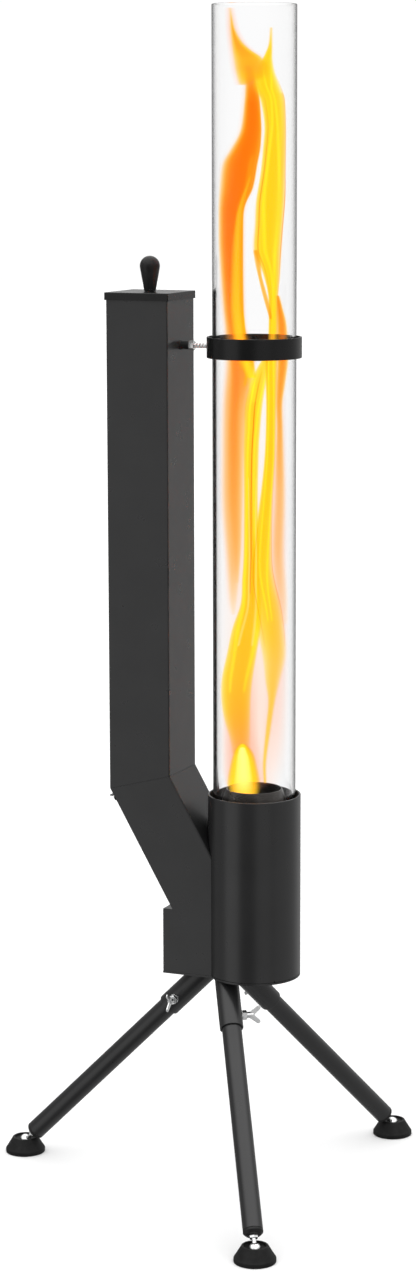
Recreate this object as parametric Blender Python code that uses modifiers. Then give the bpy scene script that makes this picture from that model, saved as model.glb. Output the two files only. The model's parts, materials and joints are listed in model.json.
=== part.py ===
"""Wood-pellet patio heater: a round burner housing with a glass flame tube, a gravity-fed hopper, a tripod.

Sizes are in metres, +Z is up and z = 0 is the floor. The heater is symmetric about the XZ plane: the hopper
stands on the -X side and the glass on the +X side. The origin is on the floor at the middle of the footprint.
"""

import math

import bmesh
import bpy
from mathutils import Matrix, Vector

# ---------------------------------------------------------------- driving dimensions
GAP = 0.0003                 # between pieces that touch, rest on or are welded to each other

# Body
BODY_BOTTOM = 0.337          # floor to the underside of the base plate
BASE_THICKNESS = 0.003
HOUSING_DIAMETER = 0.141
HOUSING_WALL = 0.003
HOUSING_HEIGHT = 0.282       # base plate included

# Glass and the burner under it
GLASS_DIAMETER = 0.125
GLASS_WALL = 0.005
GLASS_LENGTH = 1.200
GLASS_DEPTH = 0.027          # the foot of the glass below the housing's rim
GLASS_CLEARANCE = 0.001      # burner cone to the inside of the glass
GASKET_THICKNESS = 0.0014
SEAT_THICKNESS = 0.003
SHEET = 0.002                # sheet steel of the burner parts
FIRE_TUBE_DIAMETER = 0.104
CONE_MOUTH_DIAMETER = 0.085
CONE_RISE = 0.009            # the cone's mouth above the housing's rim
GRATE_HEIGHT = 0.046         # base plate's underside to the grate's underside
GRATE_THICKNESS = 0.003
GRATE_SLOT = 0.005
GRATE_SLOTS = 7
GRATE_CLEARANCE = 0.002
AIR_HOLE_DIAMETER = 0.010
AIR_HOLES = 5

# Ash box and drawer
BOX_REACH = 0.131            # from the glass axis to the box's far face
BOX_HEIGHT = 0.102           # base plate included
DRAWER_OPENING = 0.0417      # height of the drawer's opening above the base plate
DRAWER_WALL = 0.0015
DRAWER_CLEARANCE = 0.0015    # each side of the tray
DRAWER_END = 0.045           # the tray's inner end past the glass axis
HANDLE_WIRE = 0.005
HANDLE_SPAN = 0.036
HANDLE_REACH = 0.0128

# Hopper and chute
HOPPER_WIDTH = 0.100
HOPPER_WALL = 0.002
HOPPER_OFFSET = 0.1684       # hopper axis to glass axis
MITRE_HEIGHT = 0.3088        # inner corner of the mitre above the base plate's underside
HOPPER_LENGTH = 0.7264       # inner corner of the mitre to the hopper's mouth
CHUTE_TILT = math.radians(30)
GATE_DROP = 0.0373           # gate plate below the inner corner of the mitre
GATE_THICKNESS = 0.002
GATE_SLOT_CLEARANCE = 0.0004
GATE_LIP = 0.0053
GUIDE_THICKNESS = 0.0008
GUIDE_HEIGHT = 0.0065

# Lid
LID_WALL = 0.0015
LID_CLEARANCE = 0.0005
LID_SKIRT = 0.0115
KNOB_HEIGHT = 0.0525
KNOB_BULB_DIAMETER = 0.0302
KNOB_BASE_DIAMETER = 0.0174
KNOB_SCREW_DIAMETER = 0.004
KNOB_SCREW_LENGTH = 0.020
KNOB_SCREW_HEAD_DIAMETER = 0.008
KNOB_SCREW_HEAD_HEIGHT = 0.0022

# Support ring
RING_HEIGHT = 0.031
RING_WALL = 0.003
RING_GAP = 0.0052            # ring to glass
RING_DROP = 0.0772           # ring's middle below the hopper's mouth
STANDOFF_DIAMETER = 0.0124
STANDOFF_LENGTH = 0.0139
STANDOFF_BORE_DEPTH = 0.010
JAM_NUT_THICKNESS = 0.008

# M8 hardware
BOLT_DIAMETER = 0.0077
BOLT_CLEARANCE = 0.0003      # radial, in nuts and bores
NUT_ACROSS_FLATS = 0.013
NUT_THICKNESS = 0.0068

# Tripod
LEG_TILT = math.radians(45)
LEG_DIAMETER = 0.030
LEG_WALL = 0.0015
LEG_CLEARANCE = 0.0005       # radial, leg tube in its sleeve
SLEEVE_WALL = 0.0025
SLEEVE_LENGTH = 0.130        # from the point where the three leg axes meet
HUB_RISE = 0.026             # that point above the base plate's underside
HUB_OFFSET = 0.0506          # hub axis to glass axis
LEG_STOP_MARGIN = 0.003      # leg's inner end to the base plate
CLAMP_INSET = 0.022          # wing screw to the sleeve's end
WING_STEM_END = 0.0147       # past the sleeve's outside
WING_LENGTH = 0.018
WING_WIDTH = 0.0065
WING_THICKNESS = 0.0026
WING_SPREAD = math.radians(46)
WING_TURN = math.radians(135)

# Feet
PAD_DIAMETER = 0.0624
PAD_RIM_HEIGHT = 0.007
PAD_TOP_DIAMETER = 0.039
PAD_HEIGHT = 0.0245
PAD_RECESS_DIAMETER = 0.033
PAD_TOP_RECESS = 0.0035
BALL_DIAMETER = 0.019
BALL_CLEARANCE = 0.0003
BALL_HEIGHT = 0.018
NECK_DIAMETER = 0.0066
HEX_ACROSS_FLATS = 0.0114
HEX_LENGTH = 0.005
LEG_END_TO_BALL = 0.0295     # leg tube's end to the ball's centre
PLUG_FLANGE = 0.0072
PLUG_DEPTH = 0.018
PLUG_CLEARANCE = 0.0003
STUD_DIAMETER = 0.008

# Facets round a circle
FINE = 48
MEDIUM = 36
COARSE = 24
SMALL = 12

# ---------------------------------------------------------------- derived places
HOUSING_RADIUS = HOUSING_DIAMETER / 2
HOUSING_BORE = HOUSING_RADIUS - HOUSING_WALL
HOUSING_TOP = BODY_BOTTOM + HOUSING_HEIGHT
BASE_TOP = BODY_BOTTOM + BASE_THICKNESS
WALL_FOOT = BASE_TOP + GAP

GLASS_RADIUS = GLASS_DIAMETER / 2
GLASS_BORE = GLASS_RADIUS - GLASS_WALL
GLASS_FOOT = HOUSING_TOP - GLASS_DEPTH
SEAT_TOP = GLASS_FOOT - GASKET_THICKNESS - 2 * GAP
GRATE_TOP = BODY_BOTTOM + GRATE_HEIGHT + GRATE_THICKNESS
FIRE_TUBE_RADIUS = FIRE_TUBE_DIAMETER / 2
FIRE_TUBE_BORE = FIRE_TUBE_RADIUS - SHEET

BALL_RADIUS = BALL_DIAMETER / 2
FOOT_RADIUS = (BODY_BOTTOM + HUB_RISE - BALL_HEIGHT) * math.tan(LEG_TILT)
HUB_X = FOOT_RADIUS / 4      # centres the footprint of feet at 180, 60 and -60 degrees on the origin
GLASS_X = HUB_X + HUB_OFFSET
HOPPER_X = GLASS_X - HOPPER_OFFSET
BOX_FACE_X = GLASS_X - BOX_REACH

HALF_WIDTH = HOPPER_WIDTH / 2
HALF_BORE = HALF_WIDTH - HOPPER_WALL
MITRE_INNER = Vector((HOPPER_X + HALF_WIDTH, 0, BODY_BOTTOM + MITRE_HEIGHT))
MITRE_OUTER = MITRE_INNER - Vector((HOPPER_WIDTH, 0, HOPPER_WIDTH * math.tan(CHUTE_TILT / 2)))
HOPPER_MOUTH = MITRE_INNER.z + HOPPER_LENGTH
CHUTE_DIRECTION = Vector((math.sin(CHUTE_TILT), 0, -math.cos(CHUTE_TILT)))
CHUTE_UNDERSIDE_NORMAL = Vector((-math.cos(CHUTE_TILT), 0, -math.sin(CHUTE_TILT)))
BOX_TOP = BODY_BOTTOM + BOX_HEIGHT
GATE_Z = MITRE_INNER.z - GATE_DROP

LID_HALF = HALF_WIDTH + LID_CLEARANCE + LID_WALL
LID_UNDERSIDE = HOPPER_MOUTH + GAP
LID_TOP = LID_UNDERSIDE + LID_WALL
RING_BORE = GLASS_RADIUS + RING_GAP
RING_RADIUS = RING_BORE + RING_WALL
RING_Z = HOPPER_MOUTH - RING_DROP

BOLT_RADIUS = BOLT_DIAMETER / 2
BOLT_BORE = BOLT_RADIUS + BOLT_CLEARANCE
LEG_RADIUS = LEG_DIAMETER / 2
LEG_BORE = LEG_RADIUS - LEG_WALL
SLEEVE_BORE = LEG_RADIUS + LEG_CLEARANCE
SLEEVE_RADIUS = SLEEVE_BORE + SLEEVE_WALL
APEX = Vector((HUB_X, 0, BODY_BOTTOM + HUB_RISE))
LEG_START = (HUB_RISE + LEG_RADIUS * math.sin(LEG_TILT) + LEG_STOP_MARGIN) / math.cos(LEG_TILT)
BALL_REACH = FOOT_RADIUS / math.sin(LEG_TILT)
LEG_END = BALL_REACH - LEG_END_TO_BALL
CLAMP_REACH = SLEEVE_LENGTH - CLAMP_INSET

FAR = 0.5                    # a cutter's reach past the piece that it cuts

# ---------------------------------------------------------------- scene and helpers
for leftover in list(bpy.data.objects):
    bpy.data.objects.remove(leftover, do_unlink=True)

model = bpy.data.collections.new("pellet_patio_heater")
cutters = bpy.data.collections.new("cutters")
for collection in (model, cutters):
    bpy.context.scene.collection.children.link(collection)


def make_material(name, colour, roughness, metallic):
    """A Principled material with one colour and finish."""
    material = bpy.data.materials.new(name)
    material.use_nodes = True
    shader = material.node_tree.nodes["Principled BSDF"]
    shader.inputs["Base Color"].default_value = (*colour, 1.0)
    shader.inputs["Roughness"].default_value = roughness
    shader.inputs["Metallic"].default_value = metallic
    return material


BLACK_COAT = ("black_coat", (0.035, 0.035, 0.036), 0.45, 0.0)
STOVE_STEEL = ("stove_steel", (0.10, 0.095, 0.09), 0.5, 0.8)
BRIGHT_STEEL = ("bright_steel", (0.72, 0.72, 0.72), 0.25, 1.0)
BLACK_PLASTIC = ("black_plastic", (0.02, 0.02, 0.02), 0.4, 0.0)
BLACK_RUBBER = ("black_rubber", (0.025, 0.025, 0.025), 0.7, 0.0)
CLEAR_GLASS = ("clear_glass", (0.9, 0.95, 0.95), 0.02, 0.0)
WHITE_FIBRE = ("white_fibre", (0.8, 0.78, 0.72), 0.9, 0.0)


def finish(obj, look, parent=None):
    """Gives a piece its own material, smooth shading and its place in the model."""
    name, colour, roughness, metallic = look
    obj.data.materials.clear()
    obj.data.materials.append(make_material(f"{obj.name}_{name}", colour, roughness, metallic))
    obj.data.shade_smooth()
    obj.parent = parent
    return obj


def add_object(name, mesh, collection, matrix):
    """An object for a mesh, placed by a matrix."""
    obj = bpy.data.objects.new(name, mesh)
    collection.objects.link(obj)
    obj.matrix_basis = matrix
    if collection is cutters:
        obj.hide_render = True
        obj.display_type = "WIRE"
    return obj


def turned(name, profile, facets, collection=model, matrix=Matrix(), closed=False):
    """Turns a profile of (radius, height) points, top to bottom down its outer side, about local Z."""
    mesh = bpy.data.meshes.new(name)
    edges = [(i, i + 1) for i in range(len(profile) - 1)]
    if closed:
        edges.append((len(profile) - 1, 0))
    mesh.from_pydata([(radius, 0, height) for radius, height in profile], edges, [])
    obj = add_object(name, mesh, collection, matrix)
    screw = obj.modifiers.new("turn", "SCREW")
    screw.steps = facets
    screw.render_steps = facets
    screw.use_merge_vertices = True
    screw.merge_threshold = 0.00001
    return obj


def pipe(name, outer, inner, low, high, facets, collection=model, matrix=Matrix()):
    """A straight round tube between two heights."""
    profile = [(outer, high), (outer, low), (inner, low), (inner, high)]
    return turned(name, profile, facets, collection, matrix, closed=True)


def rod(name, radius, low, high, facets, collection=model, matrix=Matrix()):
    """A solid cylinder, or a hexagonal bar with 6 facets, between two heights."""
    mesh = bpy.data.meshes.new(name)
    shape = bmesh.new()
    middle = Matrix.Translation((0, 0, (low + high) / 2))
    bmesh.ops.create_cone(shape, cap_ends=True, segments=facets, radius1=radius, radius2=radius,
                          depth=high - low, matrix=middle)
    shape.to_mesh(mesh)
    shape.free()
    return add_object(name, mesh, collection, matrix)


def add_box(shape, low, high):
    """Adds a box between two corners to a bmesh."""
    low, high = Vector(low), Vector(high)
    size = Matrix.Diagonal((*(high - low), 1.0))
    bmesh.ops.create_cube(shape, size=1.0, matrix=Matrix.Translation((low + high) / 2) @ size)


def box(name, low, high, collection=model, matrix=Matrix()):
    """A box between two corners, with its size in its mesh."""
    mesh = bpy.data.meshes.new(name)
    shape = bmesh.new()
    add_box(shape, low, high)
    shape.to_mesh(mesh)
    shape.free()
    return add_object(name, mesh, collection, matrix)


def curve_to_mesh(name, curve, matrix, collection):
    """Turns a curve into a welded mesh object that a Boolean can read."""
    source = bpy.data.objects.new(name + "_curve", curve)
    bpy.context.scene.collection.objects.link(source)
    bpy.context.view_layer.update()
    graph = bpy.context.evaluated_depsgraph_get()
    mesh = bpy.data.meshes.new_from_object(source.evaluated_get(graph))
    mesh.name = name
    bpy.data.objects.remove(source)
    shape = bmesh.new()
    shape.from_mesh(mesh)
    bmesh.ops.remove_doubles(shape, verts=shape.verts, dist=0.00001)
    bmesh.ops.recalc_face_normals(shape, faces=shape.faces)
    shape.to_mesh(mesh)
    shape.free()
    return add_object(name, mesh, collection, matrix)


def flat(name, outline, thickness, collection=model, matrix=Matrix()):
    """A flat outline of (x, y) points, thickened evenly about its own plane."""
    curve = bpy.data.curves.new(name, "CURVE")
    curve.dimensions = "2D"
    curve.fill_mode = "BOTH"
    curve.extrude = thickness / 2
    spline = curve.splines.new("POLY")
    spline.points.add(len(outline) - 1)
    for point, (x, y) in zip(spline.points, outline):
        point.co = (x, y, 0, 1)
    spline.use_cyclic_u = True
    return curve_to_mesh(name, curve, matrix, collection)


def boolean(obj, other, operation="DIFFERENCE"):
    """Cuts a piece by a cutter, or joins it with one."""
    modifier = obj.modifiers.new(other.name, "BOOLEAN")
    modifier.operation = operation
    modifier.object = other
    return obj


def arc(radius, start, end, steps, centre=(0, 0)):
    """Points along an arc, both ends included, angles in radians."""
    angles = [start + (end - start) * i / steps for i in range(steps + 1)]
    return [(centre[0] + radius * math.cos(a), centre[1] + radius * math.sin(a)) for a in angles]


def along_x(x, z):
    """A frame whose Z runs along world +X from a point on the symmetry plane."""
    return Matrix.Translation((x, 0, z)) @ Matrix.Rotation(math.radians(90), 4, "Y")


SIDE_VIEW = Matrix.Rotation(math.radians(90), 4, "X")      # lays an (x, y) outline in the XZ plane
AT_GLASS = Matrix.Translation((GLASS_X, 0, 0))

# ---------------------------------------------------------------- shared cutters
housing_cutter = rod("housing_cutter", HOUSING_RADIUS + GAP, 0, HOUSING_TOP + FAR, FINE, cutters, AT_GLASS)
box_bore_cutter = box("box_bore_cutter", (BOX_FACE_X + HOPPER_WALL, -HALF_BORE, 0),
                      (GLASS_X - HOUSING_RADIUS / 2, HALF_BORE, BOX_TOP - HOPPER_WALL), cutters)


def chute_outline(wall, far_x, above_mitre):
    """Side view of the chute as a band set in by its wall, from above the mitre down to x = far_x."""
    points = []
    for corner, inward in ((MITRE_OUTER, -CHUTE_UNDERSIDE_NORMAL), (MITRE_INNER, CHUTE_UNDERSIDE_NORMAL)):
        start = corner + inward * wall
        top = start - CHUTE_DIRECTION * above_mitre
        foot = start + CHUTE_DIRECTION * ((far_x - start.x) / CHUTE_DIRECTION.x)
        points.append(((top.x, top.z), (foot.x, foot.z)))
    (under_top, under_foot), (over_top, over_foot) = points
    return [under_top, under_foot, over_foot, over_top]


chute_bore_cutter = flat("chute_bore_cutter", chute_outline(HOPPER_WALL, GLASS_X - HOUSING_RADIUS / 2, 0.08),
                         2 * HALF_BORE, cutters, SIDE_VIEW)


def mitre_cutter(name, side):
    """A block on one side of the mitre plane: +1 is above it and -1 below it."""
    slope = Matrix.Translation(MITRE_INNER) @ Matrix.Rotation(-CHUTE_TILT / 2, 4, "Y")
    near, far = -side * GAP / 2, side * FAR
    return box(name, (-FAR, -FAR, min(near, far)), (FAR, FAR, max(near, far)), cutters, slope)


# ---------------------------------------------------------------- body
def build_base_plate():
    """One plate under the housing and the ash box, with air holes on the housing's side."""
    corner = math.pi - math.asin(HALF_WIDTH / HOUSING_RADIUS)
    outline = [(-BOX_REACH, HALF_WIDTH), (-BOX_REACH, -HALF_WIDTH)]
    outline += arc(HOUSING_RADIUS, -corner, corner, FINE * 3 // 4)
    plate = flat("base_plate", outline, BASE_THICKNESS, model,
                 AT_GLASS @ Matrix.Translation((0, 0, BODY_BOTTOM + BASE_THICKNESS / 2)))
    for i in range(AIR_HOLES):
        angle = math.radians(-60 + 120 * i / (AIR_HOLES - 1))
        centre = AT_GLASS @ Vector((HOUSING_BORE * 0.8 * math.cos(angle), HOUSING_BORE * 0.8 * math.sin(angle), 0))
        hole = rod(f"air_hole_{i + 1}", AIR_HOLE_DIAMETER / 2, BODY_BOTTOM - 0.01, BASE_TOP + 0.01, SMALL,
                   cutters, Matrix.Translation(centre))
        boolean(plate, hole)
    finish(plate, BLACK_COAT)


def build_housing():
    """The round outer casing, open towards the chute and the ash box."""
    housing = pipe("burner_housing", HOUSING_RADIUS, HOUSING_BORE, WALL_FOOT, HOUSING_TOP, FINE, model, AT_GLASS)
    boolean(housing, box_bore_cutter)
    boolean(housing, chute_bore_cutter)
    finish(housing, BLACK_COAT)


def build_ash_box():
    """The square casing at the chute's foot, open underneath, towards the housing and for the drawer."""
    casing = box("ash_box", (BOX_FACE_X, -HALF_WIDTH, WALL_FOOT), (GLASS_X, HALF_WIDTH, BOX_TOP))
    drawer_hole = box("drawer_hole", (BOX_FACE_X - 0.01, -HALF_BORE, 0),
                      (BOX_FACE_X + 0.01, HALF_BORE, BASE_TOP + DRAWER_OPENING), cutters)
    for cutter in (box_bore_cutter, housing_cutter, chute_bore_cutter, drawer_hole):
        boolean(casing, cutter)
    finish(casing, BLACK_COAT)


def build_hopper():
    """The square pellet tube, mitred at its foot."""
    tube = box("hopper_tube", (HOPPER_X - HALF_WIDTH, -HALF_WIDTH, MITRE_OUTER.z - 0.02),
               (HOPPER_X + HALF_WIDTH, HALF_WIDTH, HOPPER_MOUTH))
    bore = box("hopper_bore_cutter", (HOPPER_X - HALF_BORE, -HALF_BORE, 0),
               (HOPPER_X + HALF_BORE, HALF_BORE, HOPPER_MOUTH + FAR), cutters)
    boolean(tube, bore)
    boolean(tube, mitre_cutter("below_mitre", -1))
    finish(tube, BLACK_COAT)


def build_chute():
    """The slanting square tube from the mitre to the housing, with a slot for the gate in its underside."""
    chute = flat("feed_chute", chute_outline(0, GLASS_X, 0.03), HOPPER_WIDTH, model, SIDE_VIEW)
    below_box_top = box("below_box_top", (-FAR, -FAR, -FAR), (FAR, FAR, BOX_TOP + GAP), cutters)
    slot_half = GATE_THICKNESS / 2 + GATE_SLOT_CLEARANCE
    gate_slot = box("gate_slot", (MITRE_OUTER.x - 0.01, -HALF_BORE, GATE_Z - slot_half),
                    (MITRE_OUTER.x + 0.03, HALF_BORE, GATE_Z + slot_half), cutters)
    boolean(chute, chute_bore_cutter)
    boolean(chute, housing_cutter)
    boolean(chute, below_box_top)
    boolean(chute, mitre_cutter("above_mitre", 1))
    boolean(chute, gate_slot)
    finish(chute, BLACK_COAT)


def underside_x(z):
    """Where the chute's outer underside is at a height."""
    return MITRE_OUTER.x + (MITRE_OUTER.z - z) * math.tan(CHUTE_TILT)


def build_gate():
    """The sliding plate that shuts the chute, with a full-width lip to pull, and the strip it rides on."""
    blade_half = HALF_BORE - GATE_SLOT_CLEARANCE
    wall = HOPPER_WALL / math.cos(CHUTE_TILT)
    blade_end = underside_x(GATE_Z) + HOPPER_WIDTH / math.cos(CHUTE_TILT) - wall - 3 * GATE_THICKNESS / 4
    lip_root = underside_x(GATE_Z + GATE_THICKNESS / 2) - GAP
    lip_end = lip_root - GATE_LIP
    outline = [(lip_end, -HALF_WIDTH), (lip_root, -HALF_WIDTH), (lip_root, -blade_half), (blade_end, -blade_half),
               (blade_end, blade_half), (lip_root, blade_half), (lip_root, HALF_WIDTH), (lip_end, HALF_WIDTH)]
    gate = flat("pellet_gate", outline, GATE_THICKNESS, model, Matrix.Translation((0, 0, GATE_Z)))
    finish(gate, BLACK_COAT)

    guide_top = GATE_Z - GATE_THICKNESS / 2 - GATE_SLOT_CLEARANCE
    start = Vector((underside_x(guide_top), 0, guide_top)) + CHUTE_UNDERSIDE_NORMAL * GAP
    along = Matrix.Translation(start) @ Matrix.Rotation(-CHUTE_TILT, 4, "Y")
    guide = box("gate_guide", (-GUIDE_THICKNESS, -HALF_WIDTH, -GUIDE_HEIGHT), (0, HALF_WIDTH, 0), model, along)
    finish(guide, BLACK_COAT)


# ---------------------------------------------------------------- burner
def build_burner():
    """Grate, pellet slide, fire tube, glass seat, gasket, cone and glass."""
    grate = rod("fire_grate", HOUSING_BORE - GRATE_CLEARANCE, GRATE_TOP - GRATE_THICKNESS, GRATE_TOP, MEDIUM,
                model, AT_GLASS)
    slots = bmesh.new()
    pitch = 2 * FIRE_TUBE_BORE / (GRATE_SLOTS + 1)
    for i in range(GRATE_SLOTS):
        y = (i - (GRATE_SLOTS - 1) / 2) * pitch
        reach = math.sqrt(FIRE_TUBE_BORE ** 2 - y ** 2) - GRATE_SLOT
        add_box(slots, (-reach, y - GRATE_SLOT / 2, 0), (reach, y + GRATE_SLOT / 2, FAR))
    slot_mesh = bpy.data.meshes.new("grate_slots")
    slots.to_mesh(slot_mesh)
    slots.free()
    boolean(grate, add_object("grate_slots", slot_mesh, cutters, AT_GLASS))
    finish(grate, STOVE_STEEL)

    slide_foot = Vector((GLASS_X - HOUSING_BORE, 0, GRATE_TOP + GAP))
    slide_head = Vector((BOX_FACE_X + HOPPER_WALL + SHEET, 0, BOX_TOP - HOPPER_WALL - 2 * SHEET))
    run = slide_head - slide_foot
    slope = Matrix.Translation(slide_foot) @ Matrix.Rotation(math.atan2(-run.z, run.x), 4, "Y")
    slide = box("pellet_slide", (0, -HALF_BORE + GAP, 0), (run.length, HALF_BORE - GAP, SHEET), model, slope)
    finish(slide, STOVE_STEEL)

    tube = pipe("fire_tube", FIRE_TUBE_RADIUS, FIRE_TUBE_BORE, GRATE_TOP + GAP, SEAT_TOP - SEAT_THICKNESS - GAP,
                MEDIUM, model, AT_GLASS)
    window_top = MITRE_INNER.z - (GLASS_X - FIRE_TUBE_RADIUS - MITRE_INNER.x) / math.tan(CHUTE_TILT)
    window = box("fire_tube_window", (-FIRE_TUBE_DIAMETER, -HALF_WIDTH * 0.88, 0),
                 (-FIRE_TUBE_DIAMETER * 0.15, HALF_WIDTH * 0.88, window_top), cutters, AT_GLASS)
    boolean(tube, window)
    finish(tube, STOVE_STEEL)

    finish(pipe("glass_seat", HOUSING_BORE - GAP, FIRE_TUBE_BORE, SEAT_TOP - SEAT_THICKNESS, SEAT_TOP, FINE,
                model, AT_GLASS), STOVE_STEEL)
    finish(pipe("glass_gasket", GLASS_RADIUS + GAP, GLASS_BORE, SEAT_TOP + GAP,
                SEAT_TOP + GAP + GASKET_THICKNESS, FINE, model, AT_GLASS), WHITE_FIBRE)

    foot_radius = GLASS_BORE - GLASS_CLEARANCE
    mouth_radius = CONE_MOUTH_DIAMETER / 2
    foot, mouth = SEAT_TOP + GAP, HOUSING_TOP + CONE_RISE
    cone = [(mouth_radius, mouth), (foot_radius, foot), (foot_radius - SHEET, foot), (mouth_radius - SHEET, mouth)]
    finish(turned("burner_cone", cone, FINE, model, AT_GLASS, closed=True), STOVE_STEEL)

    glass = pipe("glass_tube", GLASS_RADIUS, GLASS_BORE, GLASS_FOOT, GLASS_FOOT + GLASS_LENGTH, FINE, model, AT_GLASS)
    finish(glass, CLEAR_GLASS)


# ---------------------------------------------------------------- ash drawer
def build_drawer():
    """The open-topped ash tray with its front panel, and the wire handle on it."""
    tray_half = HALF_BORE - DRAWER_CLEARANCE
    panel_half = HALF_BORE - GAP
    panel_top = BASE_TOP + DRAWER_OPENING - GAP
    tray_top = GRATE_TOP - GRATE_THICKNESS - DRAWER_CLEARANCE
    panel_back = BOX_FACE_X + HOPPER_WALL
    tray = box("ash_drawer", (BOX_FACE_X, -panel_half, WALL_FOOT), (panel_back, panel_half, panel_top))
    body = box("tray_body", (panel_back - DRAWER_WALL, -tray_half, WALL_FOOT),
               (GLASS_X + DRAWER_END, tray_half, tray_top), cutters)
    hollow = box("tray_hollow", (panel_back, -tray_half + DRAWER_WALL, WALL_FOOT + DRAWER_WALL),
                 (GLASS_X + DRAWER_END - DRAWER_WALL, tray_half - DRAWER_WALL, FAR), cutters)
    boolean(tray, body, "UNION")
    boolean(tray, hollow)
    finish(tray, STOVE_STEEL)

    curve = bpy.data.curves.new("drawer_handle", "CURVE")
    curve.dimensions = "3D"
    curve.bevel_depth = HANDLE_WIRE / 2
    curve.bevel_resolution = 2
    curve.use_fill_caps = True
    bend = 1.6 * HANDLE_WIRE
    half, reach = HANDLE_SPAN / 2, HANDLE_REACH - HANDLE_WIRE / 2
    corner = arc(bend, math.pi / 2, math.pi, 4, (-reach + bend, half - bend))
    path = [(-GAP, half)] + corner + [(x, -y) for x, y in reversed(corner)] + [(-GAP, -half)]
    spline = curve.splines.new("POLY")
    spline.points.add(len(path) - 1)
    for point, (x, y) in zip(spline.points, path):
        point.co = (x, y, 0, 1)
    middle = Matrix.Translation((BOX_FACE_X, 0, (WALL_FOOT + panel_top) / 2))
    finish(curve_to_mesh("drawer_handle", curve, middle, model), BRIGHT_STEEL)


# ---------------------------------------------------------------- lid
def build_lid():
    """The lift-off cap of the hopper, its bulb knob and the screw through both."""
    at_hopper = Matrix.Translation((HOPPER_X, 0, 0))
    inner = HALF_WIDTH + LID_CLEARANCE
    lid = box("hopper_lid", (-LID_HALF, -LID_HALF, LID_TOP - LID_SKIRT), (LID_HALF, LID_HALF, LID_TOP),
              model, at_hopper)
    hollow = box("lid_hollow", (-inner, -inner, 0), (inner, inner, LID_UNDERSIDE), cutters, at_hopper)
    screw_bore = KNOB_SCREW_DIAMETER / 2 + BOLT_CLEARANCE
    screw_hole = rod("lid_screw_hole", screw_bore, LID_TOP - 0.01, LID_TOP + 0.01, SMALL, cutters, at_hopper)
    boolean(lid, hollow)
    boolean(lid, screw_hole)
    finish(lid, BLACK_COAT)

    foot = LID_TOP + GAP
    bulb = KNOB_BULB_DIAMETER / 2
    centre = foot + KNOB_HEIGHT - bulb
    tangent = math.asin((bulb - KNOB_BASE_DIAMETER / 2) / (centre - foot))
    profile = arc(bulb, math.pi / 2, -tangent, 8, (0, centre))
    profile += [(KNOB_BASE_DIAMETER / 2, foot), (screw_bore, foot), (screw_bore, foot + KNOB_SCREW_LENGTH),
                (0, foot + KNOB_SCREW_LENGTH)]
    profile[0] = (0, foot + KNOB_HEIGHT)
    finish(turned("lid_knob", profile, COARSE, model, at_hopper), BLACK_PLASTIC)

    shank, head = KNOB_SCREW_DIAMETER / 2, KNOB_SCREW_HEAD_DIAMETER / 2
    head_top = LID_UNDERSIDE - GAP
    tip = foot + KNOB_SCREW_LENGTH - 2 * GAP
    screw = [(0, tip), (shank, tip), (shank, head_top), (head, head_top), (head, head_top - KNOB_SCREW_HEAD_HEIGHT),
             (0, head_top - KNOB_SCREW_HEAD_HEIGHT)]
    finish(turned("knob_screw", screw, SMALL, model, at_hopper), BRIGHT_STEEL)


# ---------------------------------------------------------------- support ring
def hex_nut(name, thickness, start, collection, matrix, parent=None):
    """An M8 hex nut from a height upwards along local Z."""
    corner_radius = NUT_ACROSS_FLATS / 2 / math.cos(math.radians(30))
    nut = rod(name, corner_radius, start, start + thickness, 6, collection, matrix)
    bore = rod(f"{name}_bore", BOLT_BORE, start - 0.01, start + thickness + 0.01, SMALL, cutters, matrix)
    bore.parent = parent
    boolean(nut, bore)
    return finish(nut, BRIGHT_STEEL, parent)


def build_ring():
    """The ring round the glass, and the standoff, stud and jam nut that hold it off the hopper."""
    finish(pipe("support_ring", RING_RADIUS, RING_BORE, RING_Z - RING_HEIGHT / 2, RING_Z + RING_HEIGHT / 2, FINE,
                model, AT_GLASS), BLACK_COAT)
    face = HOPPER_X + HALF_WIDTH
    start = GAP
    end = start + STANDOFF_LENGTH
    outward = along_x(face, RING_Z)
    half = STANDOFF_DIAMETER / 2
    bore_end = end - STANDOFF_BORE_DEPTH
    standoff = [(0, end), (half, end), (half, start), (0, start)]
    standoff[0:1] = [(0, bore_end), (BOLT_BORE, bore_end), (BOLT_BORE, end)]
    finish(turned("ring_standoff", standoff, COARSE, model, outward), BLACK_COAT)
    hex_nut("jam_nut", JAM_NUT_THICKNESS, end + GAP, model, outward)
    stud_end = GLASS_X - RING_RADIUS - GAP - face
    finish(rod("ring_stud", BOLT_RADIUS, bore_end + GAP, stud_end, SMALL, model, outward), BRIGHT_STEEL)


# ---------------------------------------------------------------- tripod
def leg_frame(name, azimuth):
    """An empty at the meeting point of the legs, its Z down the leg and its Y level."""
    empty = bpy.data.objects.new(name, None)
    model.objects.link(empty)
    turn = Matrix.Rotation(azimuth, 4, "Z") @ Matrix.Rotation(math.pi - LEG_TILT, 4, "Y")
    empty.matrix_basis = Matrix.Translation(APEX) @ turn
    return empty


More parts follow.
